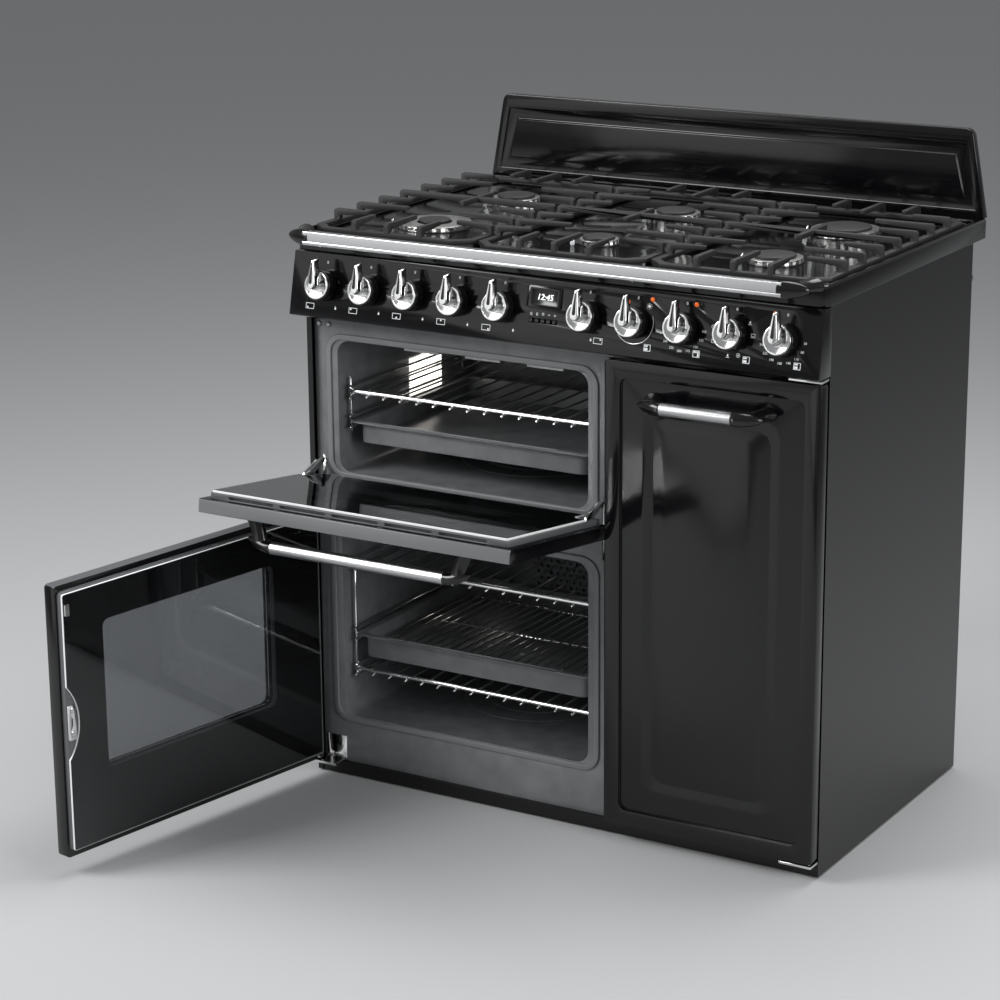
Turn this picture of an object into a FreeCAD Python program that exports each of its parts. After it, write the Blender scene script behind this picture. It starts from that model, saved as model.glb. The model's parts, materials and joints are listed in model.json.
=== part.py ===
import FreeCAD, Part
import Sketcher
import math
import os

# Free-standing range cooker, 900 wide, with a six-burner hob, a drop-down upper oven,
# a side-hung main oven below it and a tall side-hung oven on the right.
# Frame: origin on the floor under the middle of the cooker, +X to the right seen from
# the front, +Y towards the back, +Z up.  All lengths in millimetres.

V = FreeCAD.Vector
Rotation = FreeCAD.Rotation
Placement = FreeCAD.Placement

doc = FreeCAD.newDocument("RangeCooker")
sheet = doc.addObject("Spreadsheet::Sheet", "Sizes")


# ---------------------------------------------------------------- driving sizes

class Size:
    """A number held in a cell, with the expression that ties a property to that cell."""

    def __init__(self, value, text):
        self.value = float(value)
        self.text = text

    def __add__(self, other):
        return joined(self, "+", other)

    def __radd__(self, other):
        return joined(other, "+", self)

    def __sub__(self, other):
        return joined(self, "-", other)

    def __rsub__(self, other):
        return joined(other, "-", self)

    def __mul__(self, other):
        return joined(self, "*", other)

    def __rmul__(self, other):
        return joined(other, "*", self)

    def __truediv__(self, other):
        return joined(self, "/", other)

    def __neg__(self):
        return joined(0, "-", self)


def number(item):
    return item.value if isinstance(item, Size) else float(item)


def wording(item):
    return item.text if isinstance(item, Size) else "(%.6f)" % item


def joined(left, sign, right):
    a, b = number(left), number(right)
    value = {"+": a + b, "-": a - b, "*": a * b, "/": a / b if b else 0.0}[sign]
    return Size(value, "(%s %s %s)" % (wording(left), sign, wording(right)))


rows = []


def cell(alias, value):
    row = len(rows) + 1
    rows.append(alias)
    sheet.set("A%d" % row, alias)
    sheet.set("B%d" % row, str(value))
    sheet.setAlias("B%d" % row, alias)
    return Size(value, "Sizes." + alias)


hob_width = cell("hob_width", 900)
hob_depth = cell("hob_depth", 600)
hob_height = cell("hob_height", 900)
hob_apron = cell("hob_apron", 31)
hob_recess = cell("hob_recess", 7)
hob_rim = cell("hob_rim", 8)
hob_sheet = cell("hob_sheet", 2)
splash_height = cell("splash_height", 139)
splash_taper = cell("splash_taper", 25)
splash_thick = cell("splash_thick", 14)
cabinet_width = cell("cabinet_width", 896)
cabinet_front = cell("cabinet_front", -281)
cabinet_back = cell("cabinet_back", 243)
sheet_thick = cell("sheet_thick", 2)
floor_gap = cell("floor_gap", 3)
foot_radius = cell("foot_radius", 16)
foot_x = cell("foot_x", 400)
foot_y = cell("foot_y", 215)
pan_top = cell("pan_top", 23)
face_front = cell("face_front", -271)
door_front = cell("door_front", -310)
shell_depth = cell("shell_depth", 21)
frame_depth = cell("frame_depth", 9)
pane_thick = cell("pane_thick", 4)
left_doors_low = cell("left_doors_low", -449)
left_doors_high = cell("left_doors_high", 98)
tall_door_low = cell("tall_door_low", 101)
tall_door_high = cell("tall_door_high", 449)
main_door_bottom = cell("main_door_bottom", 31)
main_door_top = cell("main_door_top", 456)
upper_door_bottom = cell("upper_door_bottom", 467)
upper_door_top = cell("upper_door_top", 760)
tall_door_bottom = cell("tall_door_bottom", 32)
tall_door_top = cell("tall_door_top", 759)
side_pivot_x = cell("side_pivot_x", 440)
side_pivot_y = cell("side_pivot_y", -300)
drop_pivot_y = cell("drop_pivot_y", -306)
drop_pivot_z = cell("drop_pivot_z", 484)
pin_radius = cell("pin_radius", 4)
main_open_angle = cell("main_open_angle", 100)
upper_open_angle = cell("upper_open_angle", 82.5)
cavity_left = cell("cavity_left", -404)
cavity_right = cell("cavity_right", 58)
tall_left = cell("tall_left", 134)
tall_right = cell("tall_right", 416)
cavity_depth = cell("cavity_depth", 419)
main_floor = cell("main_floor", 101)
main_roof = cell("main_roof", 430)
upper_floor = cell("upper_floor", 510)
upper_roof = cell("upper_roof", 727)
tall_floor = cell("tall_floor", 92)
tall_roof = cell("tall_roof", 731)
seal_width = cell("seal_width", 9)
seal_thick = cell("seal_thick", 3)
rack_wire = cell("rack_wire", 2.6)
rack_bar = cell("rack_bar", 4)
rack_half = cell("rack_half", 216)
rack_front = cell("rack_front", -249)
rack_rear = cell("rack_rear", 108)
rail_half = cell("rail_half", 402)
rail_y = cell("rail_y", -345)
rail_z = cell("rail_z", 899)
rail_high = cell("rail_high", 22)
rail_deep = cell("rail_deep", 15)
handle_radius = cell("handle_radius", 9.5)
handle_reach = cell("handle_reach", 43)
panel_top_y = cell("panel_top_y", -303)
panel_top_z = cell("panel_top_z", 868)
panel_low_y = cell("panel_low_y", -324)
panel_low_z = cell("panel_low_z", 771)
knob_pitch = cell("knob_pitch", 79.4)
knob_first = cell("knob_first", 72.4)
knob_radius = cell("knob_radius", 23.5)
knob_drum = cell("knob_drum", 20)
knob_disc = cell("knob_disc", 21.5)
spindle_radius = cell("spindle_radius", 3)
module_pitch = cell("module_pitch", 294)
module_half = cell("module_half", 144)
module_front = cell("module_front", -285)
module_back = cell("module_back", 249)
grate_top = cell("grate_top", 920)
grate_base = cell("grate_base", 897)
finger_width = cell("finger_width", 8)
burner_front_y = cell("burner_front_y", -145)
burner_rear_y = cell("burner_rear_y", 106)
doc.recompute()

half_cabinet = cabinet_width / 2
hob_underside = hob_height - hob_apron
plate_top = hob_height - hob_recess


# ---------------------------------------------------------------- construction helpers

nodes = {}
cuts = []


def keep(label, thing):
    """The finished sub-part: its label names its file."""
    thing.Label = label
    nodes[label] = thing
    return thing


def bind(thing, name, size):
    """Sets a property, tied to the sheet where the size comes from it."""
    if isinstance(size, Size):
        thing.setExpression(name, size.text)
    elif "." in name:
        thing.setExpression(name, "%.6f" % size)
    else:
        setattr(thing, name, size)


def new_body(name):
    return doc.addObject("PartDesign::Body", name)


def sketch(body, role, offset=0, turn=0.0, at=(0, 0)):
    """Sketch on one of the body's own planes, moved along its normal by offset."""
    drawing = body.newObject("Sketcher::SketchObject", body.Name + "_sketch")
    plane = [f for f in body.Origin.OriginFeatures if f.Role == role][0]
    drawing.AttachmentSupport = (plane, [""])
    drawing.MapMode = "FlatFace"
    base = V(number(at[0]), number(at[1]), number(offset))
    drawing.AttachmentOffset = Placement(base, Rotation(V(1, 0, 0), turn))
    if isinstance(offset, Size):
        drawing.setExpression("AttachmentOffset.Base.z", offset.text)
    return drawing


def front_sketch(body, y):
    """Sketch that faces the front at depth y: x across, z up, pads grow forwards."""
    return sketch(body, "XZ_Plane", 0 - y if isinstance(y, Size) else -y)


def hold(drawing, geometry, point, x, y):
    """Ties a point of the geometry to the sketch origin by its two distances."""
    rules = [
        Sketcher.Constraint("DistanceX", -1, 1, geometry, point, number(x)),
        Sketcher.Constraint("DistanceY", -1, 1, geometry, point, number(y)),
    ]
    for index, size in zip(drawing.addConstraint(rules), (x, y)):
        if isinstance(size, Size):
            drawing.setExpression("Constraints[%d]" % index, size.text)


def outline(drawing, corners):
    """Closed outline of straight edges through the corners."""
    first = drawing.GeometryCount
    count = len(corners)
    points = [V(number(x), number(y), 0) for x, y in corners]
    edges = [Part.LineSegment(points[i], points[(i + 1) % count]) for i in range(count)]
    drawing.addGeometry(edges, False)
    joins = [
        Sketcher.Constraint("Coincident", first + i, 2, first + (i + 1) % count, 1)
        for i in range(count)
    ]
    drawing.addConstraint(joins)
    for i, (x, y) in enumerate(corners):
        hold(drawing, first + i, 1, x, y)


def free_outline(drawing, corners):
    """Closed outline of a computed curve, locked where the formula puts it."""
    first = drawing.GeometryCount
    count = len(corners)
    points = [V(number(x), number(y), 0) for x, y in corners]
    edges = [Part.LineSegment(points[i], points[(i + 1) % count]) for i in range(count)]
    drawing.addGeometry(edges, False)
    drawing.addConstraint([Sketcher.Constraint("Block", first + i) for i in range(count)])


def rectangle(drawing, x, y):
    outline(drawing, [(x[0], y[0]), (x[1], y[0]), (x[1], y[1]), (x[0], y[1])])


def rounded(drawing, x, y, radius, facets=2):
    """Rectangle whose corners are turned in a few flats, tied to the sheet at each point."""
    corners = [
        (x[1] - radius, y[0] + radius, 270),
        (x[1] - radius, y[1] - radius, 0),
        (x[0] + radius, y[1] - radius, 90),
        (x[0] + radius, y[0] + radius, 180),
    ]
    points = []
    for cx, cy, start in corners:
        for i in range(facets + 1):
            angle = math.radians(start + 90.0 * i / facets)
            points.append((cx + radius * math.cos(angle), cy + radius * math.sin(angle)))
    outline(drawing, points)


def ring(drawing, x, y, radius, sides):
    """Regular outline about a centre, one flat facing down."""
    points = []
    for i in range(sides):
        angle = 2 * math.pi * (i + 0.5) / sides - math.pi / 2
        points.append((number(x) + number(radius) * math.cos(angle),
                       number(y) + number(radius) * math.sin(angle)))
    free_outline(drawing, points)


def circle(drawing, x, y, radius):
    first = drawing.GeometryCount
    centre = V(number(x), number(y), 0)
    drawing.addGeometry(Part.Circle(centre, V(0, 0, 1), number(radius)), False)
    hold(drawing, first, 3, x, y)
    index = drawing.addConstraint(Sketcher.Constraint("Radius", first, number(radius)))
    if isinstance(radius, Size):
        drawing.setExpression("Constraints[%d]" % index, radius.text)


def pad(body, drawing, length, taper=0.0, back=False):
    feature = body.newObject("PartDesign::Pad", body.Name + "_pad")
    feature.Profile = drawing
    bind(feature, "Length", length)
    feature.TaperAngle = taper
    feature.Reversed = back
    body.Tip = feature
    return feature


def pocket(body, drawing, length, taper=0.0, back=False):
    feature = body.newObject("PartDesign::Pocket", body.Name + "_pocket")
    feature.Profile = drawing
    bind(feature, "Length", length)
    feature.TaperAngle = taper
    feature.Reversed = back
    body.Tip = feature
    cuts.append(feature)
    return feature


def in_line(body, features, role, length, count):
    """Linear pattern of features along one of the body's own axes."""
    pattern = body.newObject("PartDesign::LinearPattern", body.Name + "_row")
    axis = [f for f in body.Origin.OriginFeatures if f.Role == role][0]
    pattern.Originals = features
    pattern.Direction = (axis, [""])
    bind(pattern, "Length", length)
    pattern.Occurrences = count
    body.Tip = pattern
    return pattern


def soften(body, kind, size, chosen):
    """Fillet or chamfer on the edges of the body's tip that the test picks."""
    doc.recompute()
    tip = body.Tip
    names = ["Edge%d" % (i + 1) for i, e in enumerate(tip.Shape.Edges) if chosen(e)]
    feature = body.newObject("PartDesign::" + kind, body.Name + "_" + kind.lower())
    feature.Base = (tip, names)
    bind(feature, "Radius" if kind == "Fillet" else "Size", size)
    body.Tip = feature
    return feature


def ends(edge):
    return [vertex.Point for vertex in edge.Vertexes]


def block(name, x, y, z):
    """Box between two limits on each axis."""
    thing = doc.addObject("Part::Box", name)
    spans = ("Length", "Width", "Height")
    for span, axis, (low, high) in zip(spans, "xyz", (x, y, z)):
        bind(thing, span, high - low)
        bind(thing, "Placement.Base." + axis, low)
    return thing


def rod(name, sides, radius, start, axis, length):
    """Straight bar of a regular section, from start along an axis, flats up and down."""
    thing = doc.addObject("Part::Prism", name)
    thing.Polygon = sides
    bind(thing, "Circumradius", radius)
    bind(thing, "Height", length)
    half = 180.0 / sides
    if axis == "X":
        turn = Rotation(V(0, 1, 0), 90) * Rotation(V(0, 0, 1), half)
    elif axis == "Y":
        turn = Rotation(V(1, 0, 0), -90) * Rotation(V(0, 0, 1), half if sides % 4 == 0 else 0)
    else:
        turn = Rotation(V(0, 0, 1), half)
    thing.Placement = Placement(V(*[number(v) for v in start]), turn)
    for name, value in zip("xyz", start):
        if isinstance(value, Size):
            thing.setExpression("Placement.Base." + name, value.text)
    return thing


def cylinder(name, radius, start, axis, length):
    thing = doc.addObject("Part::Cylinder", name)
    bind(thing, "Radius", radius)
    bind(thing, "Height", length)
    turns = {"X": Rotation(V(0, 1, 0), 90), "Y": Rotation(V(1, 0, 0), -90), "Z": Rotation()}
    thing.Placement = Placement(V(*[number(v) for v in start]), turns[axis])
    for name, value in zip("xyz", start):
        if isinstance(value, Size):
            thing.setExpression("Placement.Base." + name, value.text)
    return thing


def together(label, things):
    """Separate solids of one sub-part that touch without overlapping."""
    thing = doc.addObject("Part::Compound", label)
    thing.Links = things
    return keep(label, thing)


def fused(name, things):
    thing = doc.addObject("Part::MultiFuse", name)
    thing.Shapes = things
    return thing


def less(name, base, tool):
    thing = doc.addObject("Part::Cut", name)
    thing.Base = base
    thing.Tool = tool
    return thing


def mirrored(name, source):
    """The other hand of a piece, across the plane x = 0."""
    thing = doc.addObject("Part::Mirroring", name)
    thing.Source = source
    thing.Normal = V(1, 0, 0)
    thing.Base = V(0, 0, 0)
    return thing


# ---------------------------------------------------------------- cabinet

def side_skin():
    """Folded side panel: a flat web with a return at the front and at the back."""
    body = new_body("side_skin")
    drawing = sketch(body, "XY_Plane", floor_gap)
    outer = 0 - half_cabinet
    inner = outer + sheet_thick
    lip = outer + 9
    outline(drawing, [
        (outer, cabinet_front),
        (lip, cabinet_front),
        (lip, cabinet_front + sheet_thick),
        (inner, cabinet_front + sheet_thick),
        (inner, cabinet_back - sheet_thick),
        (lip, cabinet_back - sheet_thick),
        (lip, cabinet_back),
        (outer, cabinet_back),
    ])
    pad(body, drawing, hob_underside - floor_gap)
    return together("side_panels", [body, mirrored("side_skin_right", body)])


def back_panel():
    """Flat back between the side returns, with air slots, cable bore and gas opening."""
    body = new_body("back_panel")
    inner = half_cabinet - sheet_thick
    rear = cabinet_back - sheet_thick
    drawing = front_sketch(body, rear)
    rectangle(drawing, (0 - inner, inner), (pan_top, hob_underside - 1))
    pad(body, drawing, sheet_thick)
    holes = front_sketch(body, rear - sheet_thick)
    circle(holes, 380, 120, 11)
    ring(holes, 425, 806, 14.5, 12)
    pocket(body, holes, sheet_thick)
    slot = front_sketch(body, rear - sheet_thick)
    rectangle(slot, (-350, -290), (780, 786))
    rectangle(slot, (-350, -290), (800, 806))
    cut = pocket(body, slot, sheet_thick)
    in_line(body, [cut], "X_Axis", 560, 5)
    return keep("back_panel", body)


def base_plinth():
    """Floor pan with its rim turned down: the front rim is the plinth strip."""
    body = new_body("base_plinth")
    inner = half_cabinet - sheet_thick
    front = cabinet_front + sheet_thick
    rear = cabinet_back - sheet_thick * 2
    drawing = sketch(body, "XY_Plane", floor_gap)
    rectangle(drawing, (0 - inner, inner), (front, rear))
    pad(body, drawing, pan_top - floor_gap)
    hollow = sketch(body, "XY_Plane", floor_gap)
    rectangle(hollow, (sheet_thick - inner, inner - sheet_thick),
              (front + sheet_thick, rear - sheet_thick))
    pocket(body, hollow, pan_top - floor_gap - sheet_thick, back=True)
    return keep("base_plinth", body)


def levelling_feet():
    """Four round feet on threaded stems that meet the floor pan."""
    things = []
    for sx in (-1, 1):
        for sy in (-1, 1):
            x, y = foot_x * sx, foot_y * sy
            top = pan_top - sheet_thick
            things.append(cylinder("foot_pad", foot_radius, (x, y, 0), "Z", 20))
            things.append(rod("foot_stem", 6, 9, (x, y, 20), "Z", top - 20))
    return together("levelling_feet", things)


def hob_top():
    """Pressed hob: apron on four sides, raised rim, recessed plate, six burner holes."""
    body = new_body("hob_top")
    half_w, half_d = hob_width / 2, hob_depth / 2
    drawing = sketch(body, "XY_Plane", hob_underside)
    rounded(drawing, (0 - half_w, half_w), (0 - half_d, half_d), 12)
    pad(body, drawing, hob_apron)
    top = number(hob_height)
    soften(body, "Chamfer", 3, lambda e: all(abs(p.z - top) < 0.01 for p in ends(e)))
    recess = sketch(body, "XY_Plane", hob_height)
    rounded(recess, (hob_rim - half_w, half_w - hob_rim), (hob_rim - half_d, 264), 16)
    pocket(body, recess, hob_recess)
    hollow = sketch(body, "XY_Plane", hob_underside)
    rounded(hollow, (hob_sheet - half_w, half_w - hob_sheet),
            (hob_sheet - half_d, half_d - hob_sheet), 10)
    pocket(body, hollow, hob_apron - hob_recess - hob_sheet, back=True)
    holes = sketch(body, "XY_Plane", plate_top)
    for x in (module_pitch * -1, module_pitch * 0, module_pitch):
        ring(holes, x, burner_front_y, 23, 8)
        ring(holes, x, burner_rear_y, 23, 8)
    pocket(body, holes, hob_sheet)
    return keep("hob_top", body)


def splashback():
    """Upstand at the back of the hob: tapered ends, rounded top corners, pressed channel."""
    body = new_body("splashback")
    half_w = hob_width / 2 - 2
    top = hob_height + splash_height
    drawing = front_sketch(body, hob_depth / 2 - 1)
    outline(drawing, [
        (0 - half_w, hob_height),
        (half_w, hob_height),
        (half_w - splash_taper, top),
        (splash_taper - half_w, top),
    ])
    pad(body, drawing, splash_thick)
    peak = number(top)
    soften(body, "Fillet", 14, lambda e: all(p.z > peak - 1 for p in ends(e))
           and abs(ends(e)[0].y - ends(e)[1].y) > 5)
    face = hob_depth / 2 - 1 - splash_thick
    channel = front_sketch(body, face)
    outline(channel, [(-432, 913), (432, 913), (412, 1016), (-412, 1016)])
    outline(channel, [(-412, 932), (412, 932), (396, 997), (-396, 997)])
    pocket(body, channel, 3, taper=20)
    return keep("splashback", body)


# ---------------------------------------------------------------- front rail

def elbow_points(start, bar_y, half, face_y, inner_reach, outer_reach, side=1):
    """Plan of an elbow that leaves a bar's end and turns back to the face behind it.

    Two quarter ellipses, one outside the bend and one inside it."""
    points = []
    outer_drop = face_y - (bar_y - half)
    inner_drop = face_y - (bar_y + half)
    steps = 5
    for i in range(steps + 1):
        angle = math.pi / 2 * i / steps
        x = start + outer_reach * math.sin(angle)
        y = bar_y - half + outer_drop * (1 - math.cos(angle))
        points.append((side * x, y))
    for i in range(steps, -1, -1):
        angle = math.pi / 2 * i / steps
        x = start + inner_reach * math.sin(angle)
        y = bar_y + half + inner_drop * (1 - math.cos(angle))
        points.append((side * x, y))
    return points


def flat_sections(*levels):
    """Test for edges that lie flat at one of the levels."""
    return lambda e: any(all(abs(p.z - z) < 0.01 for p in ends(e)) for z in levels)


def elbow(name, middle, start, bar_y, half, face_y, inner_reach, outer_reach, side, low, high):
    """One elbow cap, with its long edges eased."""
    body = new_body(name)
    drawing = sketch(body, "XY_Plane", low)
    points = elbow_points(start, bar_y, half, face_y, inner_reach, outer_reach, side)
    free_outline(drawing, [(middle + x, y) for x, y in points])
    pad(body, drawing, high - low)
    soften(body, "Chamfer", 2.5, lambda e: flat_sections(low, high)(e)
           and not all(abs(p.y - face_y) < 0.01 for p in ends(e))
           and not all(abs(abs(p.x - middle) - start) < 0.01 for p in ends(e)))
    return body


def front_rail():
    """Flattened bar along the front, above the control panel."""
    body = new_body("front_rail")
    drawing = sketch(body, "YZ_Plane", 0 - rail_half)
    half_y, half_z = rail_deep / 2, rail_high / 2
    rounded(drawing, (rail_y - half_y, rail_y + half_y), (rail_z - half_z, rail_z + half_z), 6)
    pad(body, drawing, rail_half * 2)
    return keep("front_rail", body)


def rail_ends():
    """Elbow at each end of the rail, seated on the hob's front corner."""
    start, y = number(rail_half), number(rail_y)
    half = number(rail_deep) / 2
    face = number(hob_depth) / -2
    low = number(rail_z - rail_high / 2)
    high = number(rail_z + rail_high / 2)
    things = [
        elbow("rail_elbow", 0, start, y, half, face, 24, 46, side, low, high)
        for side in (-1, 1)
    ]
    return together("rail_ends", things)


# ---------------------------------------------------------------- control panel

panel_tilt = math.degrees(math.atan2(
    number(panel_top_y - panel_low_y), number(panel_top_z - panel_low_z)))
panel_y = number(panel_top_y + panel_low_y) / 2
panel_z = number(panel_top_z + panel_low_z) / 2


def on_panel(across=0.0, up=0.0, out=0.0):
    """Placement on the sloping panel: local x across, y up the slope, z out of it."""
    turn = Rotation(V(1, 0, 0), 90 - panel_tilt)
    return Placement(V(0, panel_y, panel_z) + turn.multVec(V(across, up, out)), turn)


def panel_sketch(body, out=0.0):
    """Sketch on the sloping face of the control panel."""
    drawing = body.newObject("Sketcher::SketchObject", body.Name + "_sketch")
    plane = [f for f in body.Origin.OriginFeatures if f.Role == "XY_Plane"][0]
    drawing.AttachmentSupport = (plane, [""])
    drawing.MapMode = "FlatFace"
    drawing.AttachmentOffset = on_panel(0, 0, out)
    return drawing


knob_places = [
    (side * (knob_first + knob_pitch * step), side, step)
    for side, steps in ((-1, (4, 3, 2, 1, 0)), (1, (0, 1, 2, 3, 4)))
    for step in steps
]
lamp_places = [(178, 36), (249, 36), (373, 36)]
button_places = [(-20, -14), (-10, -14), (0, -14), (10, -14), (20, -14)]


def control_panel():
    """Folded fascia with closed ends, bored for the spindles, clock and lamps."""
    body = new_body("control_panel")
    back = panel_top_y + 20
    low = panel_low_z - 3
    drawing = sketch(body, "YZ_Plane", 0 - hob_width / 2)
    outline(drawing, [
        (back, panel_top_z),
        (panel_top_y, panel_top_z),
        (panel_low_y, panel_low_z),
        (panel_low_y + 6, low),
        (back, low),
        (back, low + sheet_thick),
        (panel_low_y + 7, low + sheet_thick),
        (panel_low_y + 2.6, panel_low_z + 1),
        (panel_top_y + 1.6, panel_top_z - sheet_thick),
        (back, panel_top_z - sheet_thick),
    ])
    pad(body, drawing, hob_width)
    for start in (0 - hob_width / 2, hob_width / 2 - sheet_thick):
        end = sketch(body, "YZ_Plane", start)
        outline(end, [
            (back, panel_top_z),
            (panel_top_y, panel_top_z),
            (panel_low_y, panel_low_z),
            (panel_low_y + 6, low),
            (back, low),
        ])
        pad(body, end, sheet_thick)
    holes = panel_sketch(body)
    for across, side, step in knob_places:
        ring(holes, number(across), 0, 5, 6)
    for across, up in lamp_places:
        ring(holes, across, up, 3.6, 6)
    rectangle(holes, (-24, 24), (-17.6, -10.4))
    rectangle(holes, (-26, 26), (7, 35))
    pocket(body, holes, 5)
    return keep("control_panel", body)


def clock_display():
    """Bezel and window of the clock, standing a little proud of the panel."""
    body = new_body("clock_display")
    drawing = sketch(body, "XY_Plane", 0)
    rounded(drawing, (-29, 29), (4, 38), 3, 1)
    pad(body, drawing, 2)
    stem = sketch(body, "XY_Plane", 0)
    rectangle(stem, (-25.5, 25.5), (7.5, 34.5))
    pad(body, stem, 14, back=True)
    window = sketch(body, "XY_Plane", 2)
    rectangle(window, (-22, 22), (10, 32))
    pocket(body, window, 0.8)
    body.Placement = on_panel()
    return keep("clock_display", body)


def clock_button(index, across, up):
    """Short round push button with a domed edge, free in its hole."""
    name = "clock_button_%d" % index
    body = new_body(name)
    drawing = sketch(body, "XY_Plane", -6)
    ring(drawing, 0, 0, 3.3, 8)
    pad(body, drawing, 8.5)
    soften(body, "Chamfer", 0.6, flat_sections(2.5))
    body.Placement = on_panel(across, up)
    return keep(name, body)


def knob(index, across):
    """Drum, disc and pointed lever; the bore behind takes the spindle."""
    name = "knob_%d" % index
    drum = rod(name + "_drum", 16, knob_radius, (0, 0, 1), "Z", knob_drum)
    bore = rod(name + "_bore", 6, spindle_radius + 1, (0, 0, 0), "Z", 16)
    disc = rod(name + "_disc", 16, knob_disc, (0, 0, knob_drum + 1), "Z", 3)
    lever = new_body(name + "_lever")
    drawing = sketch(lever, "XY_Plane", knob_drum + 4)
    reach, tail, radius = 38.5, -3.5, 9.0
    lean = math.acos(radius / (reach - tail))
    points = [(0, reach)]
    for i in range(6):
        angle = math.pi / 2 + lean + (2 * math.pi - 2 * lean) * i / 5
        points.append((radius * math.cos(angle), tail + radius * math.sin(angle)))
    free_outline(drawing, points)
    pad(lever, drawing, 16)
    inlay = new_body(name + "_inlay")
    drawing = sketch(inlay, "XY_Plane", knob_drum + 20)
    free_outline(drawing, [(x * 0.5, (y - 4) * 0.62 + 4) for x, y in points])
    pad(inlay, drawing, 2)
    drum = less(name + "_bored", drum, bore)
    thing = fused(name, [drum, disc, lever, inlay])
    thing.Placement = on_panel(number(across))
    return keep(name, thing)


def taps_and_switches():
    """Gas manifold with six taps, four switch bodies, and the supply pipe to the back."""
    things = []
    for index, (across, side, step) in enumerate(knob_places):
        x = number(across)
        gas = index < 6
        case = doc.addObject("Part::Box", "tap_case" if gas else "switch_case")
        wide, high, deep = (22, 24, 44) if gas else (36, 36, 30)
        case.Length, case.Width, case.Height = wide, high, deep
        case.Placement = on_panel(x - wide / 2, -high / 2, -6 - deep)
        things.append(case)
        stem = doc.addObject("Part::Prism", "spindle")
        stem.Polygon = 4
        bind(stem, "Circumradius", spindle_radius)
        stem.Height = 21
        stem.Placement = on_panel(x, 0, -6)
        things.append(stem)
    manifold = doc.addObject("Part::Box", "manifold")
    left = number(knob_places[0][0]) - 25
    manifold.Length, manifold.Width, manifold.Height = 437 - left, 18, 18
    manifold.Placement = on_panel(left, -9, -68)
    things.append(manifold)
    things.append(rod("supply_pipe", 12, 8, (425, -262, 806), "Y", 524))
    things.append(cylinder("supply_thread", 10.48, (425, 262, 806), "Y", 18))
    gas_taps = fused("taps_and_switches", things)
    return keep("taps_and_switches", gas_taps)


# ---------------------------------------------------------------- front frame and ovens

arm_left, arm_right = -428, 80


def front_frame():
    """Face plate behind the doors, open at each oven, slotted for the drop door's arms."""
    body = new_body("front_frame")
    drawing = front_sketch(body, face_front + sheet_thick)
    rectangle(drawing, (-440, 440), (pan_top, 757))
    pad(body, drawing, sheet_thick)
    openings = front_sketch(body, face_front)
    rounded(openings, (cavity_left + 6, cavity_right - 6), (main_floor + 2, main_roof - 2), 22)
    rounded(openings, (cavity_left + 6, cavity_right - 6), (upper_floor + 2, upper_roof - 2), 22)
    rounded(openings, (tall_left + 6, tall_right - 6), (tall_floor + 2, tall_roof - 2), 22)
    for x in (arm_left, arm_right):
        rectangle(openings, (x - 4, x + 4), (436, 536))
    pocket(body, openings, sheet_thick)
    return keep("front_frame", body)


def cavity(label, x, z, rings):
    """Oven liner: rounded box open at the front, with pressed rings in its floor."""
    body = new_body(label)
    start = face_front + sheet_thick
    back = start + cavity_depth + sheet_thick
    wide = (x[0] - sheet_thick, x[1] + sheet_thick)
    tall = (z[0] - sheet_thick, z[1] + sheet_thick)
    drawing = front_sketch(body, back)
    rounded(drawing, wide, tall, 24)
    pad(body, drawing, cavity_depth + sheet_thick)
    hollow = front_sketch(body, start)
    rounded(hollow, x, z, 22)
    pocket(body, hollow, cavity_depth)
    if rings:
        middle = (x[0] + x[1]) / 2
        pressed = sketch(body, "XY_Plane", z[0])
        for radius in (90, 130):
            ring(pressed, middle, -30, radius, 16)
            ring(pressed, middle, -30, radius - 5, 16)
        pocket(body, pressed, 1.1)
    return keep(label, body)


def door_seals():
    """Moulded ring seal round each oven opening."""
    things = []
    for name, x, z in (
        ("seal_main", (-418, 72), (92, 438)),
        ("seal_upper", (-418, 70), (502, 735)),
        ("seal_tall", (122, 428), (82, 741)),
    ):
        body = new_body(name)
        drawing = front_sketch(body, face_front)
        rounded(drawing, x, z, 30)
        w = number(seal_width)
        rounded(drawing, (x[0] + w, x[1] - w), (z[0] + w, z[1] - w), 21)
        pad(body, drawing, seal_thick)
        things.append(body)
    return together("door_seals", things)


# ---------------------------------------------------------------- racks, shelves and trays

cavity_middle = (cavity_left + cavity_right) / 2
flat = math.cos(math.pi / 6)
flat_eight = math.cos(math.pi / 8)
flat_four = math.cos(math.pi / 4)


def side_racks():
    """Ladder of wires on each oven wall; the shelves slide between the paired wires."""
    things = []
    rail = 3.0
    sets = (
        ((-391, 45), (112, 418), (164.8, 225.4, 342.0)),
        ((-391, 45), (521, 714), (579.4, 627.0)),
    )
    for sides, span, levels in sets:
        for x in sides:
            outward = -1 if x < -173 else 1
            for y in (-240, 96):
                post = x + outward * rail * (flat_four + flat_four)
                things.append(rod("rack_post", 4, rail, (post, y, span[0]), "Z",
                                  span[1] - span[0]))
            for z in levels:
                for step in (0, 18):
                    things.append(rod("rack_wire", 4, rail, (x, -252, z + step), "Y", 360))
    return together("side_racks", things)


def wires(name, middle, half, z, count, front, rear, sides=6):
    """Evenly spaced front-to-back wires, their axes at height z."""
    pitch = half * 2 / (count - 1)
    return [
        rod(name, sides, rack_wire, (middle - half + pitch * i, front, z), "Y", rear - front)
        for i in range(count)
    ]


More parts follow.
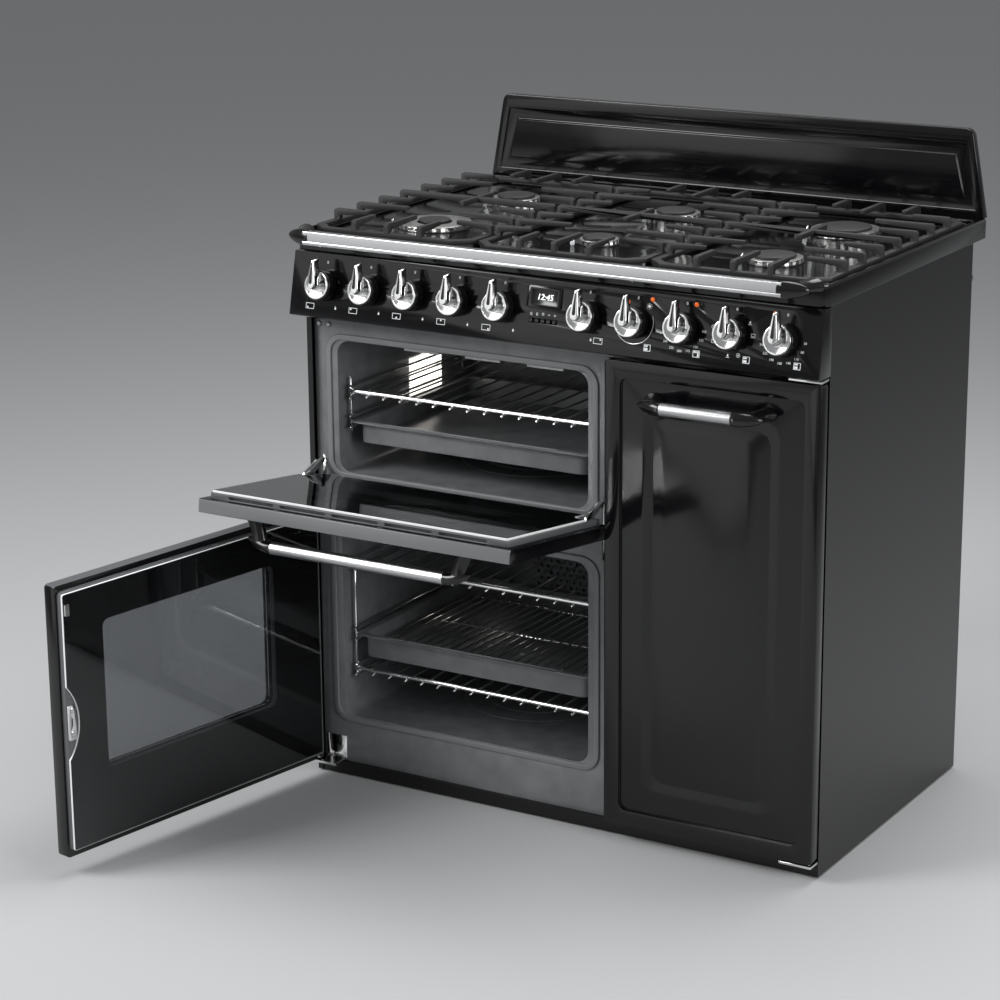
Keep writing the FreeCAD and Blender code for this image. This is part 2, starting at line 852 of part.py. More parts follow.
def wire_shelf(label, z):
    """Oven shelf: a thick bar at the front and back, wires crossing beneath them."""
    low = z - rack_bar * flat_eight - rack_wire * flat_four
    things = wires(label + "_wire", cavity_middle, rack_half, low, 15,
                   rack_front - 3, rack_rear, 4)
    span = rack_half * 2 + 4
    for name, y in (("front", rack_front + 4), ("rear", rack_rear - 6)):
        start = (cavity_middle - span / 2, y, z)
        things.append(rod(label + "_" + name, 8, rack_bar, start, "X", span))
    return together(label, things)


def oven_tray(name, rim_z, depth):
    """Enamelled tray: pressed pan with a flat rim, dipped twice at the front."""
    body = new_body(name)
    drawing = sketch(body, "XY_Plane", rim_z)
    half = rack_half + 2
    rounded(drawing, (cavity_middle - half, cavity_middle + half), (rack_front, rack_rear), 14)
    pad(body, drawing, sheet_thick, back=True)
    pan = sketch(body, "XY_Plane", rim_z)
    rounded(pan, (cavity_middle - half + 13, cavity_middle + half - 13),
            (rack_front + 10, rack_rear - 10), 16)
    pad(body, pan, depth, taper=0, back=True)
    hollow = sketch(body, "XY_Plane", rim_z)
    rounded(hollow, (cavity_middle - half + 15, cavity_middle + half - 15),
            (rack_front + 12, rack_rear - 12), 14)
    pocket(body, hollow, depth - sheet_thick)
    dips = front_sketch(body, rack_front)
    for x in (cavity_middle - 102, cavity_middle + 102):
        outline(dips, [(x - 90, rim_z + 1), (x - 82, rim_z - 1.2),
                       (x + 82, rim_z - 1.2), (x + 90, rim_z + 1)])
    pocket(body, dips, 9)
    return body


def main_tray():
    """Deep tray of the main oven with its close-set wire insert resting inside."""
    body = oven_tray("main_tray_pan", 236, 38)
    level = 236 - 38 + 2 + 14
    bars = wires("insert_wire", cavity_middle, 190, level + 2.6 * (flat + flat_four), 23,
                 -230, 88, 4)
    for y in (-210, 66):
        bars.append(rod("insert_bar", 6, 2.6, (cavity_middle - 192, y, level), "X", 384))
    for x in (-1, 1):
        for y in (-210, 66):
            foot = (cavity_middle + 150 * x, y, 200)
            bars.append(rod("insert_foot", 4, 2.2, foot, "Z", level - 2.6 * flat - 200))
    return together("main_tray", [body] + bars)


def tall_shelves():
    """Shelves of the tall oven on their own side wires."""
    middle = (tall_left + tall_right) / 2
    things = []
    for z in (240, 400, 560):
        low = z - rack_bar * flat_eight - rack_wire * flat_four
        things += wires("tall_wire", middle, 126, low, 7, -246, 104, 4)
        for y in (-241, 98):
            start = (middle - 128, y, z)
            things.append(rod("tall_bar", 8, rack_bar, start, "X", 256))
        for side in (-1, 1):
            x = middle + side * 131.5
            things.append(block("tall_runner", (x - 3.5, x + 3.5), (-250, 106),
                                (low - rack_wire * flat_four - 5,
                                 low - rack_wire * flat_four)))
    return together("tall_shelves", things)


# ---------------------------------------------------------------- fan, element, lamps

fan_x, fan_z = -173, 262


def fan_cover():
    """Perforated cover over the fan, its rim folded back to the rear wall."""
    body = new_body("fan_cover")
    wall = face_front + sheet_thick + cavity_depth
    drawing = front_sketch(body, wall)
    rounded(drawing, (fan_x - 132, fan_x + 132), (fan_z - 118, fan_z + 118), 20)
    pad(body, drawing, 34)
    hollow = front_sketch(body, wall)
    rounded(hollow, (fan_x - 130, fan_x + 130), (fan_z - 116, fan_z + 116), 18)
    pocket(body, hollow, 32, back=True)
    slots = front_sketch(body, wall - 34)
    for start, count, length in ((34, 6, 26), (70, 12, 28)):
        for i in range(count):
            angle = 2 * math.pi * i / count
            ux, uz = math.cos(angle), math.sin(angle)
            half = 3.5
            corners = []
            for along, across in ((0, -half), (length, -half), (length, half), (0, half)):
                corners.append((
                    fan_x + ux * (start + along) - uz * across,
                    fan_z + uz * (start + along) + ux * across,
                ))
            free_outline(slots, corners)
    pocket(body, slots, 2)
    return keep("fan_cover", body)


def fan_wheel():
    """Hub, disc and swept blades of the oven fan."""
    wall = number(face_front + sheet_thick + cavity_depth)
    things = [
        rod("fan_disc", 24, 72, (fan_x, wall - 10, fan_z), "Y", 2),
        rod("fan_hub", 8, 12, (fan_x, wall - 26, fan_z), "Y", 16),
    ]
    for i in range(10):
        blade = doc.addObject("Part::Box", "fan_blade")
        blade.Length, blade.Width, blade.Height = 42, 14, 1.5
        turn = Rotation(V(0, 1, 0), 36 * i)
        lean = Rotation(V(0, 1, 0), 24)
        base = turn.multVec(V(26, 0, 0)) + V(fan_x, wall - 24, fan_z)
        blade.Placement = Placement(base, turn * lean)
        things.append(blade)
    return keep("fan_wheel", fused("fan_wheel", things))


def grill_element():
    """Serpentine heating element under the roof of the upper oven."""
    body = new_body("grill_element")
    runs, pitch, radius = 6, 56, 4
    near, far, wall = -200, 90, 148
    start = -173 - pitch * (runs - 1) / 2
    drawing = sketch(body, "XY_Plane", 703)
    path = [(start, wall)]
    for i in range(runs):
        x = start + pitch * i
        if i == runs - 1:
            path.append((x, wall))
        else:
            turn_y = near if i % 2 == 0 else far
            path += [(x, turn_y), (x + pitch, turn_y)]
    free_outline(drawing, ribbon(path, radius))
    pad(body, drawing, 7)
    return keep("grill_element", body)


def ribbon(path, half):
    """Outline of a band of even width that follows a path of right-angled runs."""
    left, right = [], []
    count = len(path)
    for i, (x, y) in enumerate(path):
        before = path[i - 1] if i else None
        after = path[i + 1] if i < count - 1 else None
        normals = []
        for a, b in ((before, (x, y)), ((x, y), after)):
            if a is None or b is None:
                continue
            dx, dy = b[0] - a[0], b[1] - a[1]
            size = math.hypot(dx, dy)
            normals.append((-dy / size, dx / size))
        if len(normals) == 2:
            nx, ny = normals[0][0] + normals[1][0], normals[0][1] + normals[1][1]
        else:
            nx, ny = normals[0]
        left.append((x + nx * half, y + ny * half))
        right.append((x - nx * half, y - ny * half))
    return left + right[::-1]


def oven_lamps():
    """Flat lamp glass on the upper oven's left wall, round ones on the two rear walls."""
    wall = number(face_front + sheet_thick + cavity_depth)
    left = number(cavity_left)
    things = [
        block("lamp_pane", (left, left + 2.5), (-55, 39), (577, 650)),
        rod("lamp_ring", 16, 26, (-350, wall - 6, 385), "Y", 6),
        rod("lamp_glass", 12, 20, (-350, wall - 14, 385), "Y", 8),
        rod("lamp_ring", 16, 26, (275, wall - 6, 670), "Y", 6),
        rod("lamp_glass", 12, 20, (275, wall - 14, 670), "Y", 8),
    ]
    return together("oven_lamps", things)


# ---------------------------------------------------------------- burners and pan supports

burners = [
    (-1, burner_front_y, 58, 44, 25),
    (-1, burner_rear_y, 39, 0, 31),
    (0, burner_front_y, 30, 0, 25),
    (0, burner_rear_y, 39, 0, 31),
    (1, burner_front_y, 42, 0, 32),
    (1, burner_rear_y, 54, 0, 40),
]


def toothed(drawing, x, y, radius, root, count):
    """Outline of a crown edge with square flame slots between broad teeth."""
    points = []
    for i in range(count):
        for part, reach in ((0.12, radius), (0.88, radius), (0.9, root), (1.1, root)):
            angle = 2 * math.pi * (i + part) / count
            points.append((number(x) + reach * math.cos(angle),
                           number(y) + reach * math.sin(angle)))
    free_outline(drawing, points)


def crown(name, x, y, radius, inner, z):
    """Flame ring: a flat base with a slotted upper edge, open inside if it is the outer one."""
    body = new_body(name)
    base = sketch(body, "XY_Plane", z)
    ring(base, x, y, radius + 2, 12)
    if inner:
        ring(base, x, y, inner, 8)
    pad(body, base, 4.5)
    upper = sketch(body, "XY_Plane", z + 4.5)
    toothed(upper, x, y, radius, radius - 4, 9 if radius > 35 else 7)
    if inner:
        ring(upper, x, y, inner, 8)
    pad(body, upper, 3.5)
    return body


def burner_bodies():
    """Mixing cup in each hob hole, slotted crown above it, and an electrode beside it."""
    things = []
    level = number(plate_top)
    for index, (column, y, radius, inner, cap) in enumerate(burners):
        x = module_pitch * column
        name = "burner_%d" % (index + 1)
        things.append(rod(name + "_cup", 6, 20, (x, y, level - 22), "Z", 22))
        things.append(crown(name + "_crown", x, y, radius, inner, level))
        if inner:
            things.append(crown(name + "_core", x, y, cap + 3, 0, level))
        reach = (radius + 12) * math.sqrt(0.5)
        place = (number(x) - reach, number(y) - reach, level)
        things.append(rod(name + "_electrode", 4, 2.4, place, "Z", 10))
    return together("burner_bodies", things)


def burner_caps():
    """Enamelled caps: a flat disc with an eased upper edge; the large burner has a ring."""
    things = []
    level = number(plate_top) + 8
    for index, (column, y, radius, inner, cap) in enumerate(burners):
        x = module_pitch * column
        body = new_body("burner_cap_%d" % (index + 1))
        drawing = sketch(body, "XY_Plane", level)
        ring(drawing, x, y, cap, 16)
        pad(body, drawing, 4.5)
        soften(body, "Chamfer", 1.4, flat_sections(level + 4.5))
        things.append(body)
        if inner:
            collar = new_body("burner_ring_cap")
            drawing = sketch(collar, "XY_Plane", level)
            ring(drawing, x, y, radius - 1, 20)
            ring(drawing, x, y, inner + 1, 12)
            pad(collar, drawing, 3.5)
            things.append(collar)
    return together("burner_caps", things)


def finger(outer, tip, top, base, leg):
    """Side view of one pan-support finger: a leg, then a bar that thins to its tip."""
    turn = 1 if outer > 0 else -1
    return [
        (outer, base),
        (outer, top - 3),
        (outer - turn * 3, top),
        (tip, top),
        (tip, top - 6),
        (outer - turn * (leg + 3), top - 10),
        (outer - turn * leg, base),
    ]


def pan_support(index, column):
    """Cast grate of one module: chamfered base frame, feet, and fingers in rows."""
    name = "pan_support_%d" % index
    body = new_body(name)
    half = number(module_half)
    front, back = number(module_front), number(module_back)
    base, top = number(grate_base), number(grate_top)
    corner, bar = 26, 12

    def frame_points(inset):
        x, low, high, cut = half - inset, front + inset, back - inset, corner - inset * 0.5
        return [(-x + cut, low), (x - cut, low), (x, low + cut), (x, high - cut),
                (x - cut, high), (-x + cut, high), (-x, high - cut), (-x, low + cut)]

    drawing = sketch(body, "XY_Plane", grate_base)
    free_outline(drawing, frame_points(0))
    free_outline(drawing, frame_points(bar))
    pad(body, drawing, 7)
    feet = sketch(body, "XY_Plane", grate_base)
    for sx in (-1, 1):
        for y in (front + 40, back - 40):
            rectangle(feet, (sx * (half - 6) - 4, sx * (half - 6) + 4), (y - 5, y + 5))
    pad(body, feet, grate_base - plate_top, back=True)
    middle = (front + back) / 2
    pitch = 63.3
    wide = number(finger_width)
    short, long = 62, 96
    low = base + 5
    rows = (
        (middle - 3 * pitch, short, 4, 2 * pitch * 3),
        (middle - 2 * pitch, long, 2, 4 * pitch),
    )
    for y, reach, count, length in rows:
        drawing = front_sketch(body, y + wide / 2)
        free_outline(drawing, finger(half, half - reach, top, low, 9))
        free_outline(drawing, finger(-half, reach - half, top, low, 9)[::-1])
        made = pad(body, drawing, finger_width)
        in_line(body, [made], "Y_Axis", length, count)
    drawing = front_sketch(body, middle + wide / 2)
    free_outline(drawing, [
        (-half, low), (-half, top - 3), (3 - half, top), (half - 3, top), (half, top - 3),
        (half, low), (half - 9, low), (half - 12, top - 9), (12 - half, top - 9), (9 - half, low),
    ])
    pad(body, drawing, finger_width)
    for x, reach, count, length in ((-59, 58, 2, 118), (0, 84, 1, 0)):
        drawing = sketch(body, "YZ_Plane", x - wide / 2)
        points = [
            (front, low), (front, top - 3), (front + 3, top), (front + reach, top),
            (front + reach, top - 6), (front + 12, top - 10), (front + 9, low),
        ]
        free_outline(drawing, points)
        free_outline(drawing, [(back + front - y, z) for y, z in points])
        if x == 0:
            free_outline(drawing, [(middle - 46, top - 8), (middle - 46, top),
                                   (middle + 46, top), (middle + 46, top - 8)])
        made = pad(body, drawing, finger_width)
        if count > 1:
            in_line(body, [made], "X_Axis", length, count)
    body.Placement = Placement(V(number(module_pitch) * column, 0, 0), Rotation())
    return keep(name, body)


# ---------------------------------------------------------------- doors

def open_main(thing):
    pivot = V(-number(side_pivot_x), number(side_pivot_y), 0)
    turn = Rotation(V(0, 0, 1), -number(main_open_angle))
    thing.Placement = Placement(V(0, 0, 0), turn, pivot)


def open_upper(thing):
    pivot = V(0, number(drop_pivot_y), number(drop_pivot_z))
    turn = Rotation(V(1, 0, 0), number(upper_open_angle))
    thing.Placement = Placement(V(0, 0, 0), turn, pivot)


shell_back = door_front + shell_depth
frame_back = shell_back + frame_depth
pane_back = frame_back + pane_thick


def glazed_panel(name, x, z, window, pins):
    """Outer door pressing: flat border, sloping surround, see-through window."""
    body = new_body(name)
    drawing = front_sketch(body, shell_back)
    rounded(drawing, x, z, 5)
    pad(body, drawing, shell_depth)
    surround = front_sketch(body, door_front)
    rounded(surround, (x[0] + 26, x[1] - 26), (z[0] + 26, z[1] - 26), 14)
    pocket(body, surround, 3.5, taper=-50)
    opening = front_sketch(body, door_front)
    rounded(opening, window[0], window[1], 12)
    pocket(body, opening, shell_depth)
    for px, py, level, down in pins:
        hole = sketch(body, "XY_Plane", level)
        ring(hole, px, py, pin_radius + 0.6, 8)
        pocket(body, hole, 14, back=down)
    return body


def inner_frame(name, x, z, window, slot_count):
    """Inner door frame behind the pressing, with air slots in its top edge."""
    body = new_body(name)
    drawing = front_sketch(body, frame_back)
    rounded(drawing, x, z, 6)
    rounded(drawing, window[0], window[1], 12)
    pad(body, drawing, frame_depth)
    slots = sketch(body, "XY_Plane", z[1])
    low, high = number(x[0]) + 30, number(x[1]) - 30
    pitch = (high - low) / slot_count
    deep = number(shell_back)
    for i in range(slot_count):
        start = low + pitch * i + 6
        rectangle(slots, (start, start + pitch - 12), (deep + 2, deep + 6.5))
    pocket(body, slots, 8)
    return body


def bar_handle(label, x, z, place):
    """Round bar on two elbow caps that turn back to the door's face."""
    middle = (x[0] + x[1]) / 2
    half = (x[1] - x[0]) / 2
    y = number(door_front) - number(handle_reach)
    r = number(handle_radius)
    bar = rod(label + "_bar", 16, handle_radius, (x[0], y, z), "X", x[1] - x[0])
    things = [bar]
    for side in (-1, 1):
        things.append(elbow(label + "_elbow", middle, half, y, r, number(door_front),
                            18, 42, side, z - r + 0.5, z + r - 0.5))
    thing = together(label, things)
    if place:
        place(thing)
    return thing


def upper_door():
    x = (left_doors_low, left_doors_high)
    z = (upper_door_bottom, upper_door_top)
    window = ((-335, 0), (545, 690))
    panel = glazed_panel("upper_door_panel", x, z, window, [])
    open_upper(keep("upper_door_panel", panel))
    inner_x = (left_doors_low + 12, left_doors_high - 12)
    frame = inner_frame("upper_door_frame", inner_x, (upper_door_bottom + 7, upper_door_top - 13),
                        window, 5)
    open_upper(keep("upper_door_frame", frame))

    outer = new_body("upper_outer_pane")
    drawing = front_sketch(outer, door_front + 10)
    rounded(drawing, window[0], window[1], 12)
    pad(outer, drawing, pane_thick)
    inner = new_body("upper_inner_pane")
    drawing = front_sketch(inner, pane_back)
    low, high = number(inner_x[0]) + 3, number(inner_x[1]) - 3
    top = number(upper_door_top) - 15
    outline(drawing, [(low + 26, 477), (high - 26, 477), (high - 20, 512), (high, 520),
                      (high, top), (low, top), (low, 520), (low + 20, 512)])
    pad(inner, drawing, pane_thick)
    open_upper(together("upper_door_glass", [outer, inner]))
    bar_handle("upper_door_handle", (-340, -22), 725, open_upper)

    things = []
    for x in (arm_left, arm_right):
        body = new_body("hinge_arm")
        drawing = sketch(body, "YZ_Plane", x - 2)
        free_outline(drawing, [(-280, 488), (-280, 514), (-274, 511), (-258, 480), (-252, 462),
                               (-256, 455), (-263, 458), (-270, 472)])
        pad(body, drawing, 4)
        things.append(body)
    open_upper(together("upper_door_arms", things))


def main_door():
    x = (left_doors_low, left_doors_high)
    z = (main_door_bottom, main_door_top)
    window = ((-335, 18), (155, 388))
    pivot = (0 - side_pivot_x, side_pivot_y)
    pins = [
        (pivot[0], pivot[1], main_door_bottom, True),
        (pivot[0], pivot[1], main_door_top, False),
    ]
    open_main(keep("main_door_panel", glazed_panel("main_door_panel", x, z, window, pins)))
    inner_x = (left_doors_low + 12, left_doors_high - 4)
    inner_z = (main_door_bottom + 12, main_door_top - 9)
    frame = inner_frame("main_door_frame", inner_x, inner_z, window, 5)
    open_main(keep("main_door_frame", frame))

    outer = new_body("main_outer_pane")
    drawing = front_sketch(outer, door_front + 10)
    rounded(drawing, window[0], window[1], 12)
    pad(outer, drawing, pane_thick)
    inner = new_body("main_inner_pane")
    drawing = front_sketch(inner, pane_back)
    low, high = number(inner_x[0]) + 2, number(inner_x[1])
    foot, top = 45, 445
    notch = [(high, 189)]
    for i in range(7):
        angle = math.pi * (i + 0.5) / 7
        notch.append((high - 21 * math.sin(angle), 245.5 - 56 * math.cos(angle)))
    notch.append((high, 302))
    free_outline(drawing, [(low, foot), (high, foot)] + notch + [(high, top), (low, top)])
    pad(inner, drawing, pane_thick)
    open_main(together("main_door_glass", [outer, inner]))
    bar_handle("main_door_handle", (-335, -17), 418, open_main)


def tall_door():
    """Solid door with a pressed panel: flat border, slope, ridge, groove, raised field."""
    body = new_body("tall_door_panel")
    x = (tall_door_low, tall_door_high)
    z = (tall_door_bottom, tall_door_top)
    drawing = front_sketch(body, shell_back)
    rounded(drawing, x, z, 5)
    pad(body, drawing, shell_depth)

    def inset(amount):
        return (x[0] + amount, x[1] - amount), (z[0] + amount, z[1] - amount)

    sunk = front_sketch(body, door_front)
    rounded(sunk, *inset(25), 10)
    pocket(body, sunk, 5)
    steps = (
        ("Additive", 25.5, 5, 9, 62, 0.4, 22),
        ("Subtractive", 66, 0.4, 18, 78, 4.6, 22),
        ("Additive", 80, 4.6, 18, 93, 0.8, 24),
    )
    for kind, start, deep, radius, end, shallow, end_radius in steps:
        loft = body.newObject("PartDesign::%sLoft" % kind, "tall_door_" + kind.lower())
        first = front_sketch(body, door_front + deep)
        rounded(first, *inset(start), radius)
        second = front_sketch(body, door_front + shallow)
        rounded(second, *inset(end), end_radius)
        loft.Profile = first
        loft.Sections = [second]
        loft.Ruled = True
        body.Tip = loft
        if kind == "Subtractive":
            cuts.append(loft)
    for level, down in ((tall_door_bottom, True), (tall_door_top, False)):
        hole = sketch(body, "XY_Plane", level)
        ring(hole, side_pivot_x, side_pivot_y, pin_radius + 0.6, 8)
        pocket(body, hole, 14, back=down)
    keep("tall_door_panel", body)

    liner = new_body("tall_door_liner")
    drawing = front_sketch(liner, pane_back)
    rounded(drawing, (x[0] + 4, x[1] - 12), (z[0] + 12, z[1] - 13), 8)
    pad(liner, drawing, frame_depth + pane_thick)
    dish = front_sketch(liner, pane_back)
    rounded(dish, (tall_left + 14, tall_right - 14), (tall_floor + 14, tall_roof - 14), 20)
    pocket(liner, dish, 3, back=True)
    keep("tall_door_liner", liner)
    bar_handle("tall_door_handle", (210, 338), 707, None)


def hinge_bracket(side, plate_z, tongue_z, pin_z):
    """Plate on the face plate, stepped tongue round the cabinet edge, and its pin."""
    x = side * number(side_pivot_x)
    face = number(face_front)
    edge, far, tip = x - side * 6, x - side * 44, x + side * 8
    plate = block("hinge_plate", sorted((edge, far)), (face - 3, face), plate_z)
    arm = block("hinge_arm_plate", sorted((edge, far)), (face - 37, face - 3), tongue_z)
    nose = block("hinge_nose", sorted((edge, tip)), (face - 37, face - 12.5), tongue_z)
    pin = rod("hinge_pin", 12, pin_radius - 0.2, (x, side_pivot_y, pin_z[0]), "Z",
              pin_z[1] - pin_z[0])
    return fused("hinge_bracket", [plate, arm, nose, pin])


def door_hinges():
    """Fixed hinge brackets with their pins, and the two housings behind the drop door."""
    face = number(face_front)
    things = [
        hinge_bracket(-1, (25, 66), (25, 29), (29, 41)),
        hinge_bracket(1, (25, 66), (25, 29), (29, 41)),
        hinge_bracket(-1, (447, 462.7), (459.2, 462.7), (446, 459.2)),
        hinge_bracket(1, (749, 764.7), (761.2, 764.7), (748, 761.2)),
    ]
    for x in (arm_left, arm_right):
        case = block("hinge_case", (x - 7, x + 7), (face + 2, face + 40), (430, 542))
        room = block("hinge_room", (x - 4, x + 4), (face + 2, face + 38), (433, 539))
        things.append(less("hinge_housing", case, room))
    return together("door_hinges", things)


# ---------------------------------------------------------------- assembly

side_skin()
back_panel()
base_plinth()
levelling_feet()
hob_top()
splashback()
front_rail()
rail_ends()
control_panel()
clock_display()
for index, (across, up) in enumerate(button_places):
    clock_button(index + 1, across, up)
for index, (across, side, step) in enumerate(knob_places):
    knob(index + 1, across)
taps_and_switches()
front_frame()
cavity("upper_cavity", (cavity_left, cavity_right), (upper_floor, upper_roof), True)
cavity("main_cavity", (cavity_left, cavity_right), (main_floor, main_roof), True)
cavity("tall_cavity", (tall_left, tall_right), (tall_floor, tall_roof), False)
door_seals()
side_racks()
wire_shelf("upper_shelf", 638)
wire_shelf("main_top_shelf", 353)
wire_shelf("main_bottom_shelf", 176)
keep("upper_tray", oven_tray("upper_tray", 590, 34))
main_tray()
tall_shelves()
fan_cover()
fan_wheel()
grill_element()
oven_lamps()
burner_bodies()
burner_caps()
for index in (1, 2, 3):
    pan_support(index, index - 2)
upper_door()
main_door()
tall_door()
door_hinges()

doc.recompute()

for item in doc.Objects:
    if "Invalid" in item.State or "Error" in item.State:
        raise RuntimeError("%s (%s) did not compute" % (item.Name, item.Label))
for feature in cuts:
    before = feature.BaseFeature.Shape.Volume
    if feature.Shape.Volume > before - 0.01:
        raise RuntimeError("%s removes nothing" % feature.Name)
for label, thing in nodes.items():
    shape = thing.Shape
    if shape.isNull() or not shape.isValid() or not shape.Solids:
        raise RuntimeError("%s has no valid solid" % label)

os.makedirs("parts", exist_ok=True)
for label, thing in nodes.items():
    thing.Shape.exportStep("parts/%s.step" % label)
print("%d sub-parts written" % len(nodes))
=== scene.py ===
import json
import math
import bpy
from mathutils import Matrix, Vector


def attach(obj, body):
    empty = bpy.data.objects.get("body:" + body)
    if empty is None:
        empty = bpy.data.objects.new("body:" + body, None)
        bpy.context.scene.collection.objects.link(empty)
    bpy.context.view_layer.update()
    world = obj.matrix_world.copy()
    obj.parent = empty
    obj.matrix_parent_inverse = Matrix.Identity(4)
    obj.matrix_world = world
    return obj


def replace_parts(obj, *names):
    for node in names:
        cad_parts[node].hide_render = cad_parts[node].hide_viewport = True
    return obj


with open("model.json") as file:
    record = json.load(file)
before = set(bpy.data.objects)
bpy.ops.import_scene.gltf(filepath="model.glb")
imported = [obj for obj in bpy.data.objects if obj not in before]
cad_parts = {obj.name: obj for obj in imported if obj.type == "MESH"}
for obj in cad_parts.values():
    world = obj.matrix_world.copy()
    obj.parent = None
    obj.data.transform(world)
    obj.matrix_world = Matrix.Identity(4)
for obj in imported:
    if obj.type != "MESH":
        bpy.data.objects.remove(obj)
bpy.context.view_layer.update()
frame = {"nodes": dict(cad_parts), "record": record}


# ---------------------------------------------------------------- cabinet
# Two folded steel side skins, a turned-down floor pan whose front is the plinth strip, and a
# galvanised back.  The skins and the pan are pressed from sheet and coated in black vitreous
# enamel; the levelling feet are moulded nylon.

def linear(code):
    """sRGB hex colour as the linear values that a shader takes."""
    parts = [int(code[i:i + 2], 16) / 255 for i in (1, 3, 5)]
    return tuple(c / 12.92 if c <= 0.04045 else ((c + 0.055) / 1.055) ** 2.4
                 for c in parts) + (1.0,)


def add_node(tree, kind, settings=None, inputs=None):
    """One shader node with its settings; an input is a value or the socket that feeds it."""
    node = tree.nodes.new(kind)
    for name, value in (settings or {}).items():
        setattr(node, name, value)
    for name, value in (inputs or {}).items():
        if isinstance(value, bpy.types.NodeSocket):
            tree.links.new(value, node.inputs[name])
        else:
            node.inputs[name].default_value = value
    return node


def new_finish(name, **uniform):
    """Empty material whose shader carries the values that are the same all over."""
    material = bpy.data.materials.new(name)
    material.use_nodes = True
    tree = material.node_tree
    shader = tree.nodes["Principled BSDF"]
    for key, value in uniform.items():
        shader.inputs[key.replace("_", " ")].default_value = value
    place = add_node(tree, "ShaderNodeTexCoord").outputs["Object"]
    return material, tree, shader, place


# Vitreous enamel: a glassy coat fired on sheet steel.  Deep black, wet-looking, with the
# faint ripple of a fired surface, about 9 mm from crest to crest.
black_enamel, tree, shader, place = new_finish("vitreous_enamel_black",
                                               Base_Color=linear("#08080a"))
cloud = add_node(tree, "ShaderNodeTexNoise", inputs={"Vector": place, "Scale": 14.0, "Detail": 3.0})
sheen = add_node(tree, "ShaderNodeMapRange", inputs={"Value": cloud.outputs["Fac"], "From Min": 0.3,
                                                     "From Max": 0.7, "To Min": 0.10, "To Max": 0.17})
tree.links.new(sheen.outputs["Result"], shader.inputs["Roughness"])
ripple = add_node(tree, "ShaderNodeTexNoise", inputs={"Vector": place, "Scale": 110.0, "Detail": 1.0})
bump = add_node(tree, "ShaderNodeBump", inputs={"Height": ripple.outputs["Fac"], "Strength": 0.04,
                                                "Distance": 0.0004})
tree.links.new(bump.outputs["Normal"], shader.inputs["Normal"])

# Galvanised sheet: zinc spangle about 12 mm across, dull grey.
zinc, tree, shader, place = new_finish("galvanised_steel", Metallic=0.85)
spangle = add_node(tree, "ShaderNodeTexVoronoi", inputs={"Vector": place, "Scale": 85.0})
tone = add_node(tree, "ShaderNodeValToRGB", inputs={"Fac": spangle.outputs["Color"]})
tone.color_ramp.elements[0].color = linear("#8b8f92")
tone.color_ramp.elements[1].color = linear("#a7abad")
tree.links.new(tone.outputs["Color"], shader.inputs["Base Color"])
dull = add_node(tree, "ShaderNodeMapRange", inputs={"Value": spangle.outputs["Color"],
                                                    "To Min": 0.38, "To Max": 0.52})
tree.links.new(dull.outputs["Result"], shader.inputs["Roughness"])

# Moulded nylon: dull black with a fine spark-eroded grain, drawn at 1 mm so that it shows.
nylon, tree, shader, place = new_finish("moulded_nylon_black", Base_Color=linear("#1b1b1c"),
                                        Roughness=0.5)
grain = add_node(tree, "ShaderNodeTexNoise", inputs={"Vector": place, "Scale": 900.0})
bump = add_node(tree, "ShaderNodeBump", inputs={"Height": grain.outputs["Fac"], "Strength": 0.2,
                                                "Distance": 0.0002})
tree.links.new(bump.outputs["Normal"], shader.inputs["Normal"])


def alone(piece):
    """Makes one piece the only selected and active one."""
    bpy.ops.object.select_all(action="DESELECT")
    piece.hide_set(False)
    piece.select_set(True)
    bpy.context.view_layer.objects.active = piece


def pick(piece, wanted, kind="FACE"):
    """Opens a piece for editing with its wanted faces, edges or corners picked."""
    alone(piece)
    bpy.ops.object.mode_set(mode="EDIT")
    bpy.ops.mesh.select_mode(type=kind)
    bpy.ops.mesh.select_all(action="DESELECT")
    bpy.ops.object.mode_set(mode="OBJECT")
    items = {"FACE": piece.data.polygons, "EDGE": piece.data.edges, "VERT": piece.data.vertices}
    for item in items[kind]:
        item.select = wanted(item)
    bpy.ops.object.mode_set(mode="EDIT")


def done(piece, angle=40):
    """Leaves edit mode; the piece is smooth but for its sharp edges."""
    bpy.ops.object.mode_set(mode="OBJECT")
    alone(piece)
    bpy.ops.object.shade_smooth_by_angle(angle=math.radians(angle))
    return piece


def rolled(piece, radius, segments=2, angle=32):
    """Rolls the sharp edges of a piece."""
    alone(piece)
    roll = piece.modifiers.new("rolled_edges", "BEVEL")
    roll.width = radius
    roll.segments = segments
    roll.limit_method = "ANGLE"
    roll.angle_limit = math.radians(angle)
    bpy.ops.object.modifier_apply(modifier=roll.name)
    return done(piece)


def paint(node, material):
    """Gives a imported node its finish."""
    mesh = frame["nodes"][node].data
    mesh.materials.clear()
    mesh.materials.append(material)


body_of = {name: body for body, names in frame["record"]["behaviour"]["bodies"].items()
           for name in names}


def eased(node, material, radius, segments=2, angle=32):
    """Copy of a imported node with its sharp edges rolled, standing for that node."""
    piece = bpy.data.objects.new(node + "_eased", frame["nodes"][node].data.copy())
    bpy.context.scene.collection.objects.link(piece)
    alone(piece)
    bpy.ops.object.mode_set(mode="EDIT")
    bpy.ops.mesh.select_all(action="SELECT")
    bpy.ops.mesh.remove_doubles(threshold=0.00001)
    bpy.ops.mesh.dissolve_limited(angle_limit=math.radians(1.0))
    bpy.ops.object.mode_set(mode="OBJECT")
    piece.data.materials.clear()
    piece.data.materials.append(material)
    rolled(piece, radius, segments, angle)
    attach(piece, body_of[node])
    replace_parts(piece, node)
    return piece


